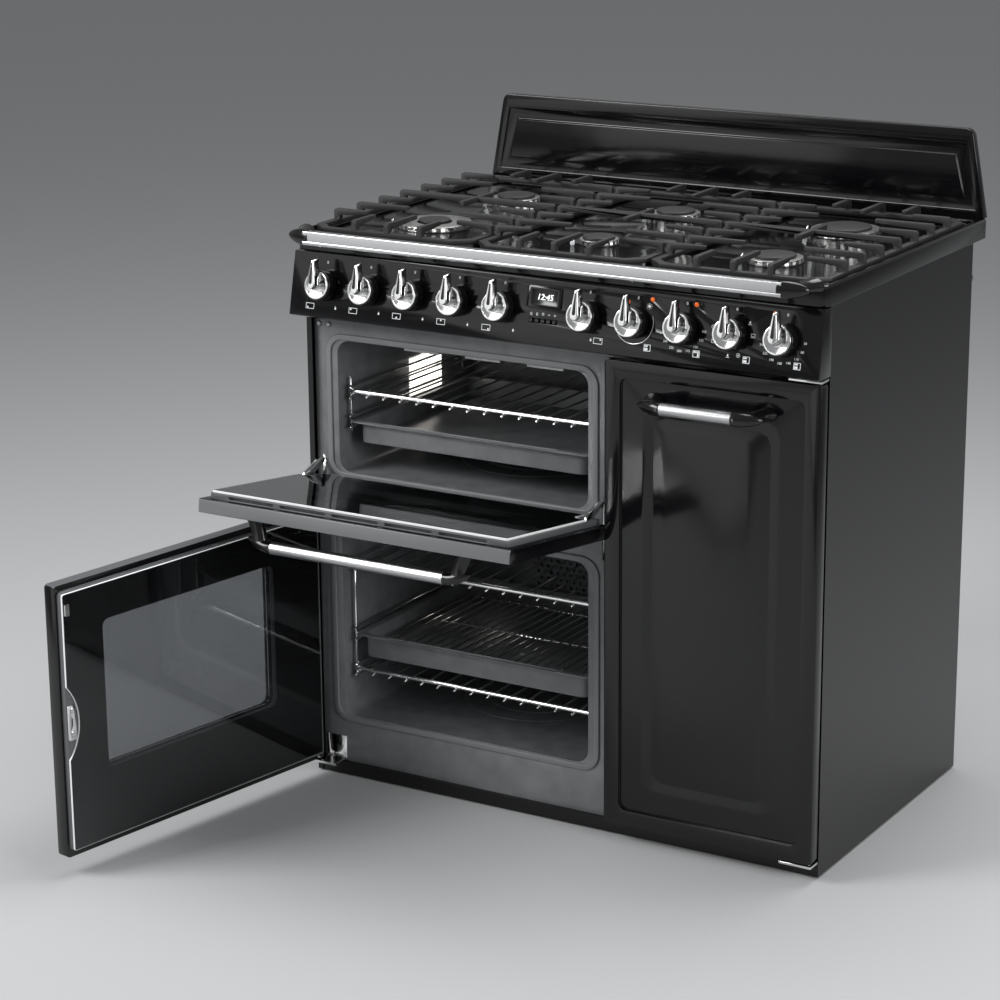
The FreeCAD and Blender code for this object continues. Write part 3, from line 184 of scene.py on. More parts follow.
def second_finish(piece, material, wanted):
    """Gives a second finish to the faces whose centre and outward direction are wanted."""
    piece.data.materials.append(material)
    index = len(piece.data.materials) - 1
    for face in piece.data.polygons:
        if wanted(face.center, face.normal):
            face.material_index = index


paint("side_panels", black_enamel)
paint("base_plinth", black_enamel)
paint("back_panel", zinc)
eased("levelling_feet", nylon, 0.0008)


# ---------------------------------------------------------------- face plate and ovens
# The face plate and the three oven liners are steel sheet under grey vitreous enamel; the
# liners are pressed with round corners.  Woven seals are clipped round each mouth, and the
# lamps, fan, element and wire ladders are screwed to the liners.

# Grey vitreous enamel: glossy mid grey, clouded a little where it pooled in firing.
oven_enamel, tree, shader, place = new_finish("vitreous_enamel_grey", Roughness=0.26)
pool = add_node(tree, "ShaderNodeTexNoise", inputs={"Vector": place, "Scale": 30.0, "Detail": 4.0})
tone = add_node(tree, "ShaderNodeValToRGB", inputs={"Fac": pool.outputs["Fac"]})
tone.color_ramp.elements[0].position = 0.3
tone.color_ramp.elements[0].color = linear("#6e7072")
tone.color_ramp.elements[1].position = 0.75
tone.color_ramp.elements[1].color = linear("#7e8082")
tree.links.new(tone.outputs["Color"], shader.inputs["Base Color"])
ripple = add_node(tree, "ShaderNodeTexNoise", inputs={"Vector": place, "Scale": 90.0})
bump = add_node(tree, "ShaderNodeBump", inputs={"Height": ripple.outputs["Fac"], "Strength": 0.05,
                                                "Distance": 0.0005})
tree.links.new(bump.outputs["Normal"], shader.inputs["Normal"])

# Silicone seal: mid grey, dull, with the knit of its core showing through, about 2 mm.
silicone, tree, shader, place = new_finish("silicone_grey", Base_Color=linear("#7a7c7d"),
                                           Roughness=0.42)
braid = add_node(tree, "ShaderNodeTexNoise", inputs={"Vector": place, "Scale": 500.0})
bump = add_node(tree, "ShaderNodeBump", inputs={"Height": braid.outputs["Fac"], "Strength": 0.3,
                                                "Distance": 0.0004})
tree.links.new(bump.outputs["Normal"], shader.inputs["Normal"])

# Chromium plate: mirror bright, with the slight waviness of plated wire.
chrome, tree, shader, place = new_finish("chromium_plate", Base_Color=linear("#f0f0f0"),
                                         Metallic=1.0)
wave = add_node(tree, "ShaderNodeTexNoise", inputs={"Vector": place, "Scale": 60.0, "Detail": 2.0})
sheen = add_node(tree, "ShaderNodeMapRange", inputs={"Value": wave.outputs["Fac"],
                                                     "To Min": 0.05, "To Max": 0.16})
tree.links.new(sheen.outputs["Result"], shader.inputs["Roughness"])

# Plain rolled steel: grey, brushed along its length by the rollers.
rolled_steel, tree, shader, place = new_finish("rolled_steel", Metallic=1.0,
                                               Base_Color=linear("#9a9b9d"))
mill = add_node(tree, "ShaderNodeTexNoise", inputs={"Vector": place, "Scale": 240.0, "Detail": 3.0})
sheen = add_node(tree, "ShaderNodeMapRange", inputs={"Value": mill.outputs["Fac"],
                                                     "To Min": 0.26, "To Max": 0.46})
tree.links.new(sheen.outputs["Result"], shader.inputs["Roughness"])

# Frosted borosilicate: pressed lamp glass, lit from behind in the upper oven.
lamp_glass, tree, shader, place = new_finish("frosted_lamp_glass", Base_Color=linear("#f4f2ea"),
                                             Roughness=0.35, Emission_Color=linear("#fffaf2"))
ribs = add_node(tree, "ShaderNodeTexWave", {"bands_direction": "Z"},
                {"Vector": place, "Scale": 60.0, "Distortion": 3.0})
glow = add_node(tree, "ShaderNodeMapRange", inputs={"Value": ribs.outputs["Fac"],
                                                    "To Min": 0.5, "To Max": 3.5})
tree.links.new(glow.outputs["Result"], shader.inputs["Emission Strength"])
bump = add_node(tree, "ShaderNodeBump", inputs={"Height": ribs.outputs["Fac"], "Strength": 0.4,
                                                "Distance": 0.001})
tree.links.new(bump.outputs["Normal"], shader.inputs["Normal"])

def slab(name, low, high, corner, axis=1, segments=8):
    """Box between two corners in millimetres, its four edges along one axis rounded."""
    bpy.ops.object.select_all(action="DESELECT")
    bpy.ops.mesh.primitive_cube_add(size=1, location=[(a + b) / 2000 for a, b in zip(low, high)],
                                    scale=[(b - a) / 1000 for a, b in zip(low, high)])
    piece = bpy.context.object
    piece.name = name
    bpy.ops.object.transform_apply(location=True, rotation=True, scale=True)
    corners = piece.data.vertices

    def lies_along(edge):
        run = corners[edge.vertices[0]].co - corners[edge.vertices[1]].co
        return abs(run[axis]) > 0.999 * run.length

    pick(piece, lies_along, "EDGE")
    bpy.ops.mesh.bevel(offset=corner / 1000, segments=segments)
    bpy.ops.object.mode_set(mode="OBJECT")
    return piece


def carve(piece, *tools, operation="DIFFERENCE"):
    """Takes tools out of a piece, or melts them into it; the tools are used up."""
    alone(piece)
    for tool in tools:
        change = piece.modifiers.new("carve", "BOOLEAN")
        change.operation = operation
        change.solver = "EXACT"
        change.object = tool
        bpy.ops.object.modifier_apply(modifier=change.name)
        bpy.data.objects.remove(tool)
    return piece


def joined(name, pieces):
    """Several pieces as one mesh, smooth but for its sharp edges."""
    alone(pieces[0])
    for piece in pieces:
        piece.select_set(True)
    bpy.ops.object.join()
    piece = bpy.context.object
    piece.name = name
    piece.data.name = name
    return done(piece)


def fitted(piece, body, slot, *materials):
    """Sends a finished piece to its body with its finishes; the slot is not used."""
    piece.data.materials.clear()
    for material in materials:
        piece.data.materials.append(material)
    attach(piece, body)
    return piece


ovens = {"main_cavity": ((-404, 58), (101, 430)), "upper_cavity": ((-404, 58), (510, 727)),
         "tall_cavity": ((134, 416), (92, 731))}
plate = slab("face_plate", (-440, -271, 23), (440, -269, 757), 1, segments=1)
for x, z in ovens.values():
    carve(plate, slab("mouth", (x[0] + 6, -275, z[0] + 2), (x[1] - 6, -265, z[1] - 2), 22))
for x in (-428, 80):
    carve(plate, slab("arm_slot", (x - 4, -275, 436), (x + 4, -265, 536), 2))
rolled(plate, 0.0006, 2, 60)
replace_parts(fitted(plate, "cooker", "frame_grey", oven_enamel), "front_frame")

for oven, (x, z) in ovens.items():
    liner = slab(oven + "_shell", (x[0] - 2, -269, z[0] - 2), (x[1] + 2, 152, z[1] + 2), 24)
    pick(liner, lambda face: face.normal.y < -0.9)
    bpy.ops.mesh.inset(thickness=0.002)
    bpy.ops.mesh.extrude_region_move(TRANSFORM_OT_translate={"value": (0, 0.419, 0)})
    bpy.ops.mesh.bevel(offset=0.007, segments=4)
    done(liner)
    if oven != "tall_cavity":
        for radius in (88, 128):
            bpy.ops.object.select_all(action="DESELECT")
            bpy.ops.mesh.primitive_torus_add(major_radius=radius / 1000, minor_radius=0.0025,
                                             major_segments=64, minor_segments=10,
                                             location=(-0.173, -0.03, (z[0] + 1.3) / 1000))
            carve(liner, bpy.context.object)
        done(liner)
    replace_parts(fitted(liner, "cooker", "oven_enamel", oven_enamel), oven)

seals = []
for x, z in (((-418, 72), (92, 438)), ((-418, 70), (502, 735)), ((122, 428), (82, 741))):
    seal = slab("seal", (x[0], -274, z[0]), (x[1], -271, z[1]), 30)
    carve(seal, slab("bore", (x[0] + 9, -280, z[0] + 9), (x[1] - 9, -260, z[1] - 9), 21))
    seals.append(rolled(seal, 0.0014, 3, 60))
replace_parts(fitted(joined("mouth_seals", seals), "cooker", "seal", silicone), "door_seals")

cover = slab("perforated_cover", (-305, 116, 144), (-41, 149.8, 380), 20)
carve(cover, slab("hollow", (-303, 118, 146), (-43, 155, 378), 18))
holes = []
for row in range(-8, 9):
    for place_in_row in range(-9, 10):
        across = 12.5 * (place_in_row + (row % 2) / 2)
        up = 10.8 * row
        if math.hypot(across, up) < 100:
            bpy.ops.object.select_all(action="DESELECT")
            bpy.ops.mesh.primitive_cylinder_add(vertices=10, radius=0.0032, depth=0.006,
                                                location=(-0.173 + across / 1000, 0.117,
                                                          0.262 + up / 1000),
                                                rotation=(math.pi / 2, 0, 0))
            holes.append(bpy.context.object)
holes = joined("holes", holes)
alone(holes)
bpy.ops.object.transform_apply(location=True, rotation=True, scale=True)
carve(cover, holes)
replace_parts(fitted(done(cover), "cooker", "oven_enamel", oven_enamel), "fan_cover")
paint("fan_wheel", rolled_steel)
paint("grill_element", rolled_steel)
paint("oven_lamps", lamp_glass)
paint("taps_and_switches", rolled_steel)


def rod(name, start, end, radius, sides=12):
    """Round bar with eased ends, from one point to another."""
    start, end = Vector(start) / 1000, Vector(end) / 1000
    bpy.ops.object.select_all(action="DESELECT")
    bpy.ops.mesh.primitive_cylinder_add(vertices=sides, radius=radius / 1000,
                                        depth=(end - start).length)
    piece = bpy.context.object
    piece.name = name
    bpy.ops.object.mode_set(mode="EDIT")
    bpy.ops.mesh.select_mode(type="FACE")
    bpy.ops.object.mode_set(mode="OBJECT")
    for face in piece.data.polygons:
        face.select = abs(face.normal.z) > 0.9
    bpy.ops.object.mode_set(mode="EDIT")
    bpy.ops.mesh.bevel(offset=radius / 4000, segments=1)
    bpy.ops.object.mode_set(mode="OBJECT")
    turn = (end - start).to_track_quat("Z", "Y").to_matrix().to_4x4()
    piece.data.transform(Matrix.Translation((start + end) / 2) @ turn)
    return piece


wires = []
for span, levels in (((157, 364), (164.8, 225.4, 342.0)), ((571, 662), (579.4, 627.0))):
    for x, out in ((-391, -1), (45, 1)):
        post = x + 4.3 * out
        for y in (-240, 96):
            wires.append(rod("post", (post, y, span[0]), (post, y, span[1]), 2.1))
            for z in (span[0] + 3, span[1] - 3):
                wires.append(rod("peg", (post, y, z), (x + 12.8 * out, y, z), 2.1))
        for z in levels:
            for step in (0, 18):
                wires.append(rod("runner", (x, -252, z + step), (x, 108, z + step), 2.1))
ladders = fitted(joined("wire_ladders", wires), "cooker", "chrome", chrome)
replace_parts(ladders, "side_racks")
screws = []
for x, z in ((-431, 748), (-413, 748), (431, 748), (-431, 40), (431, 40), (88, 748), (88, 40)):
    screws.append(rod("screw", (x, -270.5, z), (x, -273.5, z), 4.2, 24))
fitted(joined("plate_screws", screws), "cooker", "steel", rolled_steel)


# ---------------------------------------------------------------- shelves and trays
# Chrome-plated wire shelves, each with a thick bar along the front and the back, and deep
# enamelled trays whose front rims dip twice.  They slide on the wire ladders.

paint("tall_shelves", chrome)
for shelf, z in (("upper_shelf", 638), ("main_top_shelf", 353), ("main_bottom_shelf", 176)):
    low = z - 5.6
    wires = [rod("wire", (-389 + 432 / 14 * i, -252, low), (-389 + 432 / 14 * i, 108, low), 1.8)
             for i in range(15)]
    for y in (-245, 102):
        wires.append(rod("bar", (-391, y, z), (45, y, z), 3.7, 20))
    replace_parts(fitted(joined(shelf + "_wires", wires), shelf, "chrome", chrome), shelf)
for tray, rim, depth in (("upper_tray", 590, 34), ("main_tray", 236, 38)):
    pan = slab(tray + "_pan", (-393, -252, rim - 2), (47, 108, rim), 14, 2)
    carve(pan, slab("bowl", (-380, -242, rim - depth), (34, 98, rim - 0.5), 16, 2),
          operation="UNION")
    carve(pan, slab("hollow", (-378, -240, rim - depth + 2), (32, 96, rim + 6), 14, 2),
          slab("dip", (-330, -262, rim - 1.2), (-16, -243, rim + 6), 4))
    rolled(pan, 0.0007, 2, 50)
    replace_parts(fitted(pan, tray, "oven_enamel", oven_enamel), tray)
wires = [rod("wire", (-363 + 380 / 22 * i, -230, 218), (-363 + 380 / 22 * i, 88, 218), 1.9)
         for i in range(23)]
for y in (-210, -72, 66):
    wires.append(rod("bar", (-365, y, 214), (19, y, 214), 2.6))
for x in (-323, -23):
    for y in (-210, 66):
        wires.append(rod("foot", (x, y, 200), (x, y, 212.5), 2.2))
fitted(joined("tray_insert", wires), "main_tray", "chrome", chrome)


# ---------------------------------------------------------------- doors
# Outer skins pressed from sheet and enamelled black, an inner frame with air slots in its top
# edge, and panes of dark glass.  The round brushed bars stand on moulded elbow caps.

# Toughened glass: clear, with the grey tint of its heat-reflecting coat.
tinted_glass, tree, shader, place = new_finish("toughened_glass_grey", Base_Color=linear("#b4b6b8"),
                                               Transmission_Weight=1.0, Roughness=0.0)

# Ground glass edge: the cut edge of the pane, pale from its grinding and painted near white as a
# painted highlight along each edge.
ground_edge_painted_highlight, tree, shader, place = new_finish("ground_glass_edge_painted_highlight", Base_Color=linear("#f2f4f4"),
                                              Roughness=0.35)

# Ceramic screen print on the back of the glass: dense charcoal.
screen_print, tree, shader, place = new_finish("ceramic_screen_print", Base_Color=linear("#262728"),
                                               Roughness=0.4)

# Satin grey enamel on the folded edges of the doors.
edge_enamel, tree, shader, place = new_finish("satin_enamel_grey", Base_Color=linear("#5c5e60"))
cloud = add_node(tree, "ShaderNodeTexNoise", inputs={"Vector": place, "Scale": 50.0})
sheen = add_node(tree, "ShaderNodeMapRange", inputs={"Value": cloud.outputs["Fac"],
                                                     "To Min": 0.3, "To Max": 0.4})
tree.links.new(sheen.outputs["Result"], shader.inputs["Roughness"])

# Satin grey enamel on the turned-in top edge of the drop door, painted paler than the main door's
# edge: a painted highlight where the open edge faces the lamps.
edge_enamel_painted_highlight, tree, shader, place = new_finish("satin_enamel_grey_painted_highlight", Base_Color=linear("#717375"),
                                              Roughness=0.3)

# Satin stainless steel: brushed along the bar, about three strokes a millimetre.
brushed_bar, tree, shader, place = new_finish("stainless_steel_brushed", Metallic=1.0,
                                              Base_Color=linear("#c4c5c6"))
along = add_node(tree, "ShaderNodeMapping", inputs={"Vector": place, "Scale": (1.0, 90.0, 90.0)})
strokes = add_node(tree, "ShaderNodeTexNoise", inputs={"Vector": along.outputs["Vector"],
                                                       "Scale": 24.0, "Detail": 3.0})
sheen = add_node(tree, "ShaderNodeMapRange", inputs={"Value": strokes.outputs["Fac"],
                                                     "To Min": 0.20, "To Max": 0.34})
tree.links.new(sheen.outputs["Result"], shader.inputs["Roughness"])

# Polished phenolic moulding: black end caps and knobs.
gloss_moulding, tree, shader, place = new_finish("gloss_moulding_black",
                                                 Base_Color=linear("#101011"))
cloud = add_node(tree, "ShaderNodeTexNoise", inputs={"Vector": place, "Scale": 40.0})
sheen = add_node(tree, "ShaderNodeMapRange", inputs={"Value": cloud.outputs["Fac"],
                                                     "To Min": 0.12, "To Max": 0.22})
tree.links.new(sheen.outputs["Result"], shader.inputs["Roughness"])

upper_open = (Matrix.Translation((0, -0.306, 0.484)) @ Matrix.Rotation(math.radians(82.5), 4, "X")
              @ Matrix.Translation((0, 0.306, -0.484)))
main_open = (Matrix.Translation((-0.440, -0.300, 0)) @ Matrix.Rotation(math.radians(-100), 4, "Z")
             @ Matrix.Translation((0.440, 0.300, 0)))
opened = {"upper_door": upper_open, "main_door": main_open, "tall_door": Matrix.Identity(4)}


def as_closed(door):
    """Turns a place and a direction on an open door back to where they are when it is shut."""
    back = opened[door].inverted()
    return lambda centre, normal: (back @ centre, back.to_3x3() @ normal)


# The drop door's top edge takes the grey enamel painted paler as a highlight; the main door's keeps
# the plain satin grey.
for door, top, folded in (("upper_door", 0.760, edge_enamel_painted_highlight), ("main_door", 0.456, edge_enamel)):
    shut = as_closed(door)

    def upper_edge(centre, normal):
        c, n = shut(centre, normal)
        return n.z > 0.6 and c.z > top - 0.003

    second_finish(eased(door + "_panel", black_enamel, 0.0012), folded, upper_edge)
    eased(door + "_frame", edge_enamel, 0.0008)

# Each door: its sight window, its inner pane, and the tools that cut that pane's outline.
windows = {"upper_door": ((-335, 545), (0, 690)), "main_door": ((-335, 155), (18, 388))}
panes = {"upper_door": ((-434, 477), (83, 745)), "main_door": ((-435, 45), (94, 445))}
for door, ((x0, z0), (x1, z1)) in panes.items():
    if door == "upper_door":
        cuts = [((x0 - 30, -290, 440), (x0 + 22, -270, 516), 9),
                ((x1 - 22, -290, 440), (x1 + 30, -270, 516), 9)]
    else:
        cuts = [((73, -290, 159), (246, -270, 332), 86)]
    (w0, v0), (w1, v1) = windows[door]
    pane = slab(door + "_inner_pane", (x0, -279.6, z0), (x1, -276, z1), 4)
    back_print = slab(door + "_print", (x0 + 2, -279.9, z0 + 2), (x1 - 2, -279.7, z1 - 2), 3)
    for low, high, corner in cuts:
        carve(pane, slab("cut", low, high, corner, segments=24))
        carve(back_print, slab("cut", low, high, corner, segments=24))
    carve(back_print, slab("window", (w0, -290, v0), (w1, -270, v1), 12))
    outer = slab(door + "_outer_pane", (w0 + 0.2, -300, v0 + 0.2), (w1 - 0.2, -296, v1 - 0.2), 12)
    shut = as_closed(door)
    for piece in (pane, outer):
        rolled(piece, 0.0005, 1, 50)
        done(piece, 30)
        piece.data.transform(opened[door])
        fitted(piece, door, "glass", tinted_glass)
        # Edges and chamfers of the panes take the near-white ground edge: a painted highlight line.
        second_finish(piece, ground_edge_painted_highlight,
                      lambda centre, normal: abs(shut(centre, normal)[1].y) < 0.8)
    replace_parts(pane, door + "_glass")
    back_print.data.transform(opened[door])
    fitted(done(back_print), door, None, screen_print)

# Latch plate in the arc of the main pane, its two screws, and the small catch above it.
latch = carve(slab("latch", (77.5, -280.5, 218), (92.5, -277.6, 273), 3),
              slab("slot", (83.5, -282, 239), (86.5, -270, 252), 1.4))
latch = [rolled(latch, 0.0004)]
latch += [rod("screw", (85, -278.5, z), (85, -276.3, z), 4.3, 24) for z in (227, 264)]
latch += [slab("catch", (84, -276.4, 412), (92, -272.6, 430), 1.2)]
latch = joined("main_door_latch", latch)
latch.data.transform(opened["main_door"])
fitted(latch, "main_door", "chrome", chrome)

eased("tall_door_panel", black_enamel, 0.0012)
eased("tall_door_liner", edge_enamel, 0.0008)
eased("upper_door_arms", chrome, 0.0006)
eased("door_hinges", chrome, 0.0006)


def elbow_cap(name, end, side, half, face):
    """Moulded cap: an almond that carries the bar on to a point, on a foot turned back."""
    x, y, z = (v / 1000 for v in end)
    bpy.ops.object.select_all(action="DESELECT")
    bpy.ops.mesh.primitive_circle_add(vertices=24, radius=0.001, fill_type="NGON",
                                      location=(x - side * 0.007, y, z),
                                      rotation=(0, math.pi / 2, 0))
    leaf = bpy.context.object
    bpy.ops.object.transform_apply(location=True, rotation=True, scale=True)
    bpy.ops.object.mode_set(mode="EDIT")
    bpy.ops.mesh.select_all(action="SELECT")
    here = Vector((x - side * 0.007, y, z))
    bpy.ops.transform.resize(value=(1, half[0] * 1.04, half[1] * 1.04), center_override=here)
    deep, size = 1.04, 1.04
    # each step: how far along the bar, how far back, the new depth and the new height
    for along, back, new_deep, new_size in (
            (3, 0, 1.03, 1.10), (6, 0.6, 1.015, 1.15), (8, 1.8, 0.98, 1.14), (8, 2.1, 0.9, 1.02),
            (7, 2.0, 0.75, 0.83), (6, 2.0, 0.53, 0.59), (4, 1.5, 0.33, 0.36), (2, 0.7, 0.11, 0.12)):
        step = Vector((side * along / 1000, back / 1000, 0))
        bpy.ops.mesh.extrude_region_move(TRANSFORM_OT_translate={"value": step})
        here = here + step
        bpy.ops.transform.resize(value=(1, new_deep / deep, new_size / size), center_override=here)
        deep, size = new_deep, new_size
    bpy.ops.mesh.select_all(action="SELECT")
    bpy.ops.mesh.normals_make_consistent(inside=False)
    bpy.ops.object.mode_set(mode="OBJECT")
    bpy.ops.object.select_all(action="DESELECT")
    here = Vector((x + side * 0.015, y + 0.003, z))
    bpy.ops.mesh.primitive_circle_add(vertices=24, radius=0.001, fill_type="NGON", location=here,
                                      rotation=(math.pi / 2, 0, 0))
    foot = bpy.context.object
    bpy.ops.object.transform_apply(location=True, rotation=True, scale=True)
    bpy.ops.object.mode_set(mode="EDIT")
    bpy.ops.mesh.select_all(action="SELECT")
    bpy.ops.transform.resize(value=(12.5, 1, half[1] * 0.95), center_override=here)
    depth = face / 1000 - here.y
    # each step: share of the depth, drift along the bar, growth of the section
    for share, drift, growth in ((0.4, 3, 1.0), (0.35, 5, 1.06), (0.15, 3, 1.12), (0.10, 1, 1.08)):
        step = Vector((side * drift / 1000, share * depth, 0))
        bpy.ops.mesh.extrude_region_move(TRANSFORM_OT_translate={"value": step})
        here = here + step
        bpy.ops.transform.resize(value=(growth, 1, 1 + (growth - 1) / 2), center_override=here)
    bpy.ops.mesh.select_all(action="SELECT")
    bpy.ops.mesh.normals_make_consistent(inside=False)
    bpy.ops.object.mode_set(mode="OBJECT")
    return done(carve(leaf, foot, operation="UNION"), 50)


for door, x, z in (("upper_door", (-340, -22), 725), ("main_door", (-335, -17), 418),
                   ("tall_door", (210, 338), 707)):
    bar = rod(door + "_bar", (x[0], -353, z), (x[1], -353, z), 9.5, 48)
    caps = [elbow_cap("cap", (x[side > 0], -353, z), side, (9.5, 9.5), -310.2)
            for side in (-1, 1)]
    caps = joined(door + "_caps", caps)
    alone(bar)
    bpy.ops.object.shade_smooth_by_angle(angle=math.radians(40))
    for piece in (bar, caps):
        piece.data.transform(opened[door])
    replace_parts(fitted(bar, door, "brushed", brushed_bar), door + "_handle")
    fitted(caps, door, "cap_black", gloss_moulding)


# ---------------------------------------------------------------- control panel
# Sloping folded fascia in black enamel with ten knobs, a clock with its five push buttons,
# and three pilot lamps.  The knobs push onto the spindles.

eased("control_panel", black_enamel, 0.0012)
eased("clock_display", gloss_moulding, 0.0006)
for i in range(1, 6):
    paint("clock_button_%d" % i, gloss_moulding)

tilt = math.atan2(21, 97)
panel_place = (Matrix.Translation((0, -0.3135, 0.8195))
               @ Matrix.Rotation(math.pi / 2 - tilt, 4, "X"))


def turned(name, radius, low, high, ease, sides=64):
    """Turned disc on the panel's own axes, both rims eased."""
    bpy.ops.object.select_all(action="DESELECT")
    bpy.ops.mesh.primitive_cylinder_add(vertices=sides, radius=radius / 1000,
                                        depth=(high - low) / 1000,
                                        location=(0, 0, (low + high) / 2000))
    piece = bpy.context.object
    piece.name = name
    bpy.ops.object.transform_apply(location=True, rotation=True, scale=True)
    bpy.ops.object.mode_set(mode="EDIT")
    bpy.ops.mesh.select_mode(type="FACE")
    bpy.ops.object.mode_set(mode="OBJECT")
    for face in piece.data.polygons:
        face.select = abs(face.normal.z) > 0.9
    bpy.ops.object.mode_set(mode="EDIT")
    bpy.ops.mesh.bevel(offset=ease / 1000, segments=3)
    bpy.ops.object.mode_set(mode="OBJECT")
    return piece


def lever(name, tip, tip_half, hub, low, high, crown):
    """Paddle: a round hub drawn out to a blunt tip, narrower at the front."""
    bpy.ops.object.select_all(action="DESELECT")
    bpy.ops.mesh.primitive_circle_add(vertices=32, radius=hub / 1000, fill_type="NGON",
                                      location=(0, 0.001, low / 1000))
    piece = bpy.context.object
    piece.name = name
    bpy.ops.object.transform_apply(location=True, rotation=True, scale=True)
    pick(piece, lambda corner: corner.co.y > 0.0012, "VERT")
    share = tip_half / hub
    bpy.ops.transform.resize(value=(share, share, 1), center_override=(0, 0.001, low / 1000))
    bpy.ops.transform.translate(value=(0, (tip - tip_half - 1) / 1000, 0))
    bpy.ops.mesh.select_all(action="SELECT")
    bpy.ops.mesh.extrude_region_move(TRANSFORM_OT_translate={"value": (0, 0, (high - low) / 1000)})
    bpy.ops.transform.resize(value=(crown, 0.5 + crown / 2, 1),
                             center_override=(0, 0.012, high / 1000))
    bpy.ops.mesh.select_all(action="SELECT")
    bpy.ops.mesh.normals_make_consistent(inside=False)
    bpy.ops.object.mode_set(mode="OBJECT")
    return piece


# Screen-printed marks: thin pale ink, with a faint painted glow so that the marks stay light in the
# shade of the knobs.
pale_ink_painted_glow, tree, shader, place = new_finish("screen_print_pale_painted_glow", Base_Color=linear("#d5d8d9"),
                                           Roughness=0.45, Emission_Color=linear("#d5d8d9"),
                                           Emission_Strength=0.3)

drum = done(turned("drum", 23.4, 1, 21, 1.6))
face = turned("face", 21.5, 21, 24, 0.6)
pick(face, lambda polygon: polygon.normal.z > 0.99 and len(polygon.vertices) > 10)
for width, sink in ((1.7, 0), (0.5, -0.8), (4.5, -1.0), (5.0, -0.6), (4.0, -0.2)):
    bpy.ops.mesh.inset(thickness=width / 1000, depth=sink / 1000)
bpy.ops.object.mode_set(mode="OBJECT")
paddle = rolled(lever("lever", 42, 3.9, 10, 27.5, 40, 0.70), 0.0009, 3, 35)
pointer = joined("pointer", [face, paddle, turned("neck", 5.2, 21.5, 29, 0.4, 32)])
inlay = done(lever("inlay", 31, 0.9, 2.8, 39.5, 40.3, 1.0))
inlay.data.transform(Matrix.Translation((0, 0.003, 0)))
knob_across = [-(72.4 + 79.4 * step) for step in (4, 3, 2, 1, 0)]
knob_across += [72.4 + 79.4 * step for step in range(5)]
# The pale index dot on each knob drum takes the pale ink with its painted glow.
bpy.ops.object.select_all(action="DESELECT")
bpy.ops.mesh.primitive_cylinder_add(vertices=16, radius=0.0012, depth=0.0008,
                                    location=(0, 0.0225, 0.0207))
index_dot = bpy.context.object
index_dot.name = "index_dot"
bpy.ops.object.transform_apply(location=True, rotation=True, scale=True)
for i, across in enumerate(knob_across, 1):
    for part, slot, material in ((drum, "knob", gloss_moulding), (pointer, "chrome", chrome),
                                 (inlay, "knob", gloss_moulding), (index_dot, None, pale_ink_painted_glow)):
        piece = bpy.data.objects.new("knob_%d_%s" % (i, part.name), part.data.copy())
        bpy.context.scene.collection.objects.link(piece)
        piece.data.transform(panel_place @ Matrix.Translation((across / 1000, 0, 0)))
        fitted(piece, "knob_%d" % i, slot, material)
        if part == drum:
            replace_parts(piece, "knob_%d" % i)
for part in (drum, pointer, inlay, index_dot):
    bpy.data.objects.remove(part)

# Lit amber lens of a pilot lamp.
amber_lens, tree, shader, place = new_finish("amber_lens", Base_Color=linear("#b4501a"),
                                             Roughness=0.25, Emission_Color=linear("#f0691a"),
                                             Emission_Strength=0.5)

# Lit digits of the clock.
lit_digits, tree, shader, place = new_finish("lit_digits", Base_Color=linear("#ffffff"),
                                             Emission_Color=linear("#f4fbff"),
                                             Emission_Strength=1.6)


def lettering(words, across, up, size, out=0.05, slant=0.0):
    """Flat characters centred on a place of the panel."""
    bpy.ops.object.select_all(action="DESELECT")
    bpy.ops.object.text_add(location=(0, 0, 0))
    text = bpy.context.object
    text.data.body = words
    text.data.size = size / 1000
    text.data.align_x = "CENTER"
    text.data.align_y = "CENTER"
    text.data.resolution_u = 3
    text.data.extrude = 0.00005
    text.data.shear = slant
    bpy.ops.object.convert(target="MESH")
    piece = bpy.context.object
    piece.data.transform(Matrix.Translation((across / 1000, up / 1000, (out + 0.05) / 1000)))
    return piece


def spot(across, up, radius, low=0.05, high=0.15, sides=16):
    """Small round dot on the panel."""
    bpy.ops.object.select_all(action="DESELECT")
    bpy.ops.mesh.primitive_cylinder_add(vertices=sides, radius=radius / 1000,
                                        depth=(high - low) / 1000,
                                        location=(across / 1000, up / 1000, (low + high) / 2000))
    bpy.ops.object.transform_apply(location=True, rotation=True, scale=True)
    return bpy.context.object


def hoop(across, up, radius, half, open_from=0, open_to=0):
    """Thin ring on the panel, open between two angles from straight up, clockwise."""
    bpy.ops.object.select_all(action="DESELECT")
    bpy.ops.mesh.primitive_torus_add(major_radius=radius / 1000, minor_radius=half / 1000,
                                     major_segments=48, minor_segments=6)
    piece = bpy.context.object
    pick(piece, lambda c: open_from < math.degrees(math.atan2(c.co.x, c.co.y)) < open_to, "VERT")
    bpy.ops.mesh.delete(type="VERT")
    bpy.ops.object.mode_set(mode="OBJECT")
    piece.data.transform(Matrix.Translation((across / 1000, up / 1000, 0.0003))
                         @ Matrix.Diagonal((1, 1, 0.3 / half if half > 0.3 else 1, 1)))
    return piece


def bar_mark(across, up, wide, tall):
    """Small printed stroke."""
    return slab("stroke", (across - wide / 2, up - tall / 2, 0.05),
                (across + wide / 2, up + tall / 2, 0.15), 0.1, 2, 1)


def box_mark(across, up, wide, tall, line):
    """Printed outline of a rectangle."""
    strokes = [bar_mark(across, up + s * (tall - line) / 2, wide, line) for s in (-1, 1)]
    strokes += [bar_mark(across + s * (wide - line) / 2, up, line, tall) for s in (-1, 1)]
    return strokes


def flame(across, up, radius):
    """Printed flame: a dot drawn up to a point."""
    piece = spot(across, up, radius, sides=12)
    pick(piece, lambda corner: corner.co.y > up / 1000 + 0.9 * radius / 1000, "VERT")
    bpy.ops.transform.translate(value=(0, 1.4 * radius / 1000, 0))
    bpy.ops.object.mode_set(mode="OBJECT")
    return piece


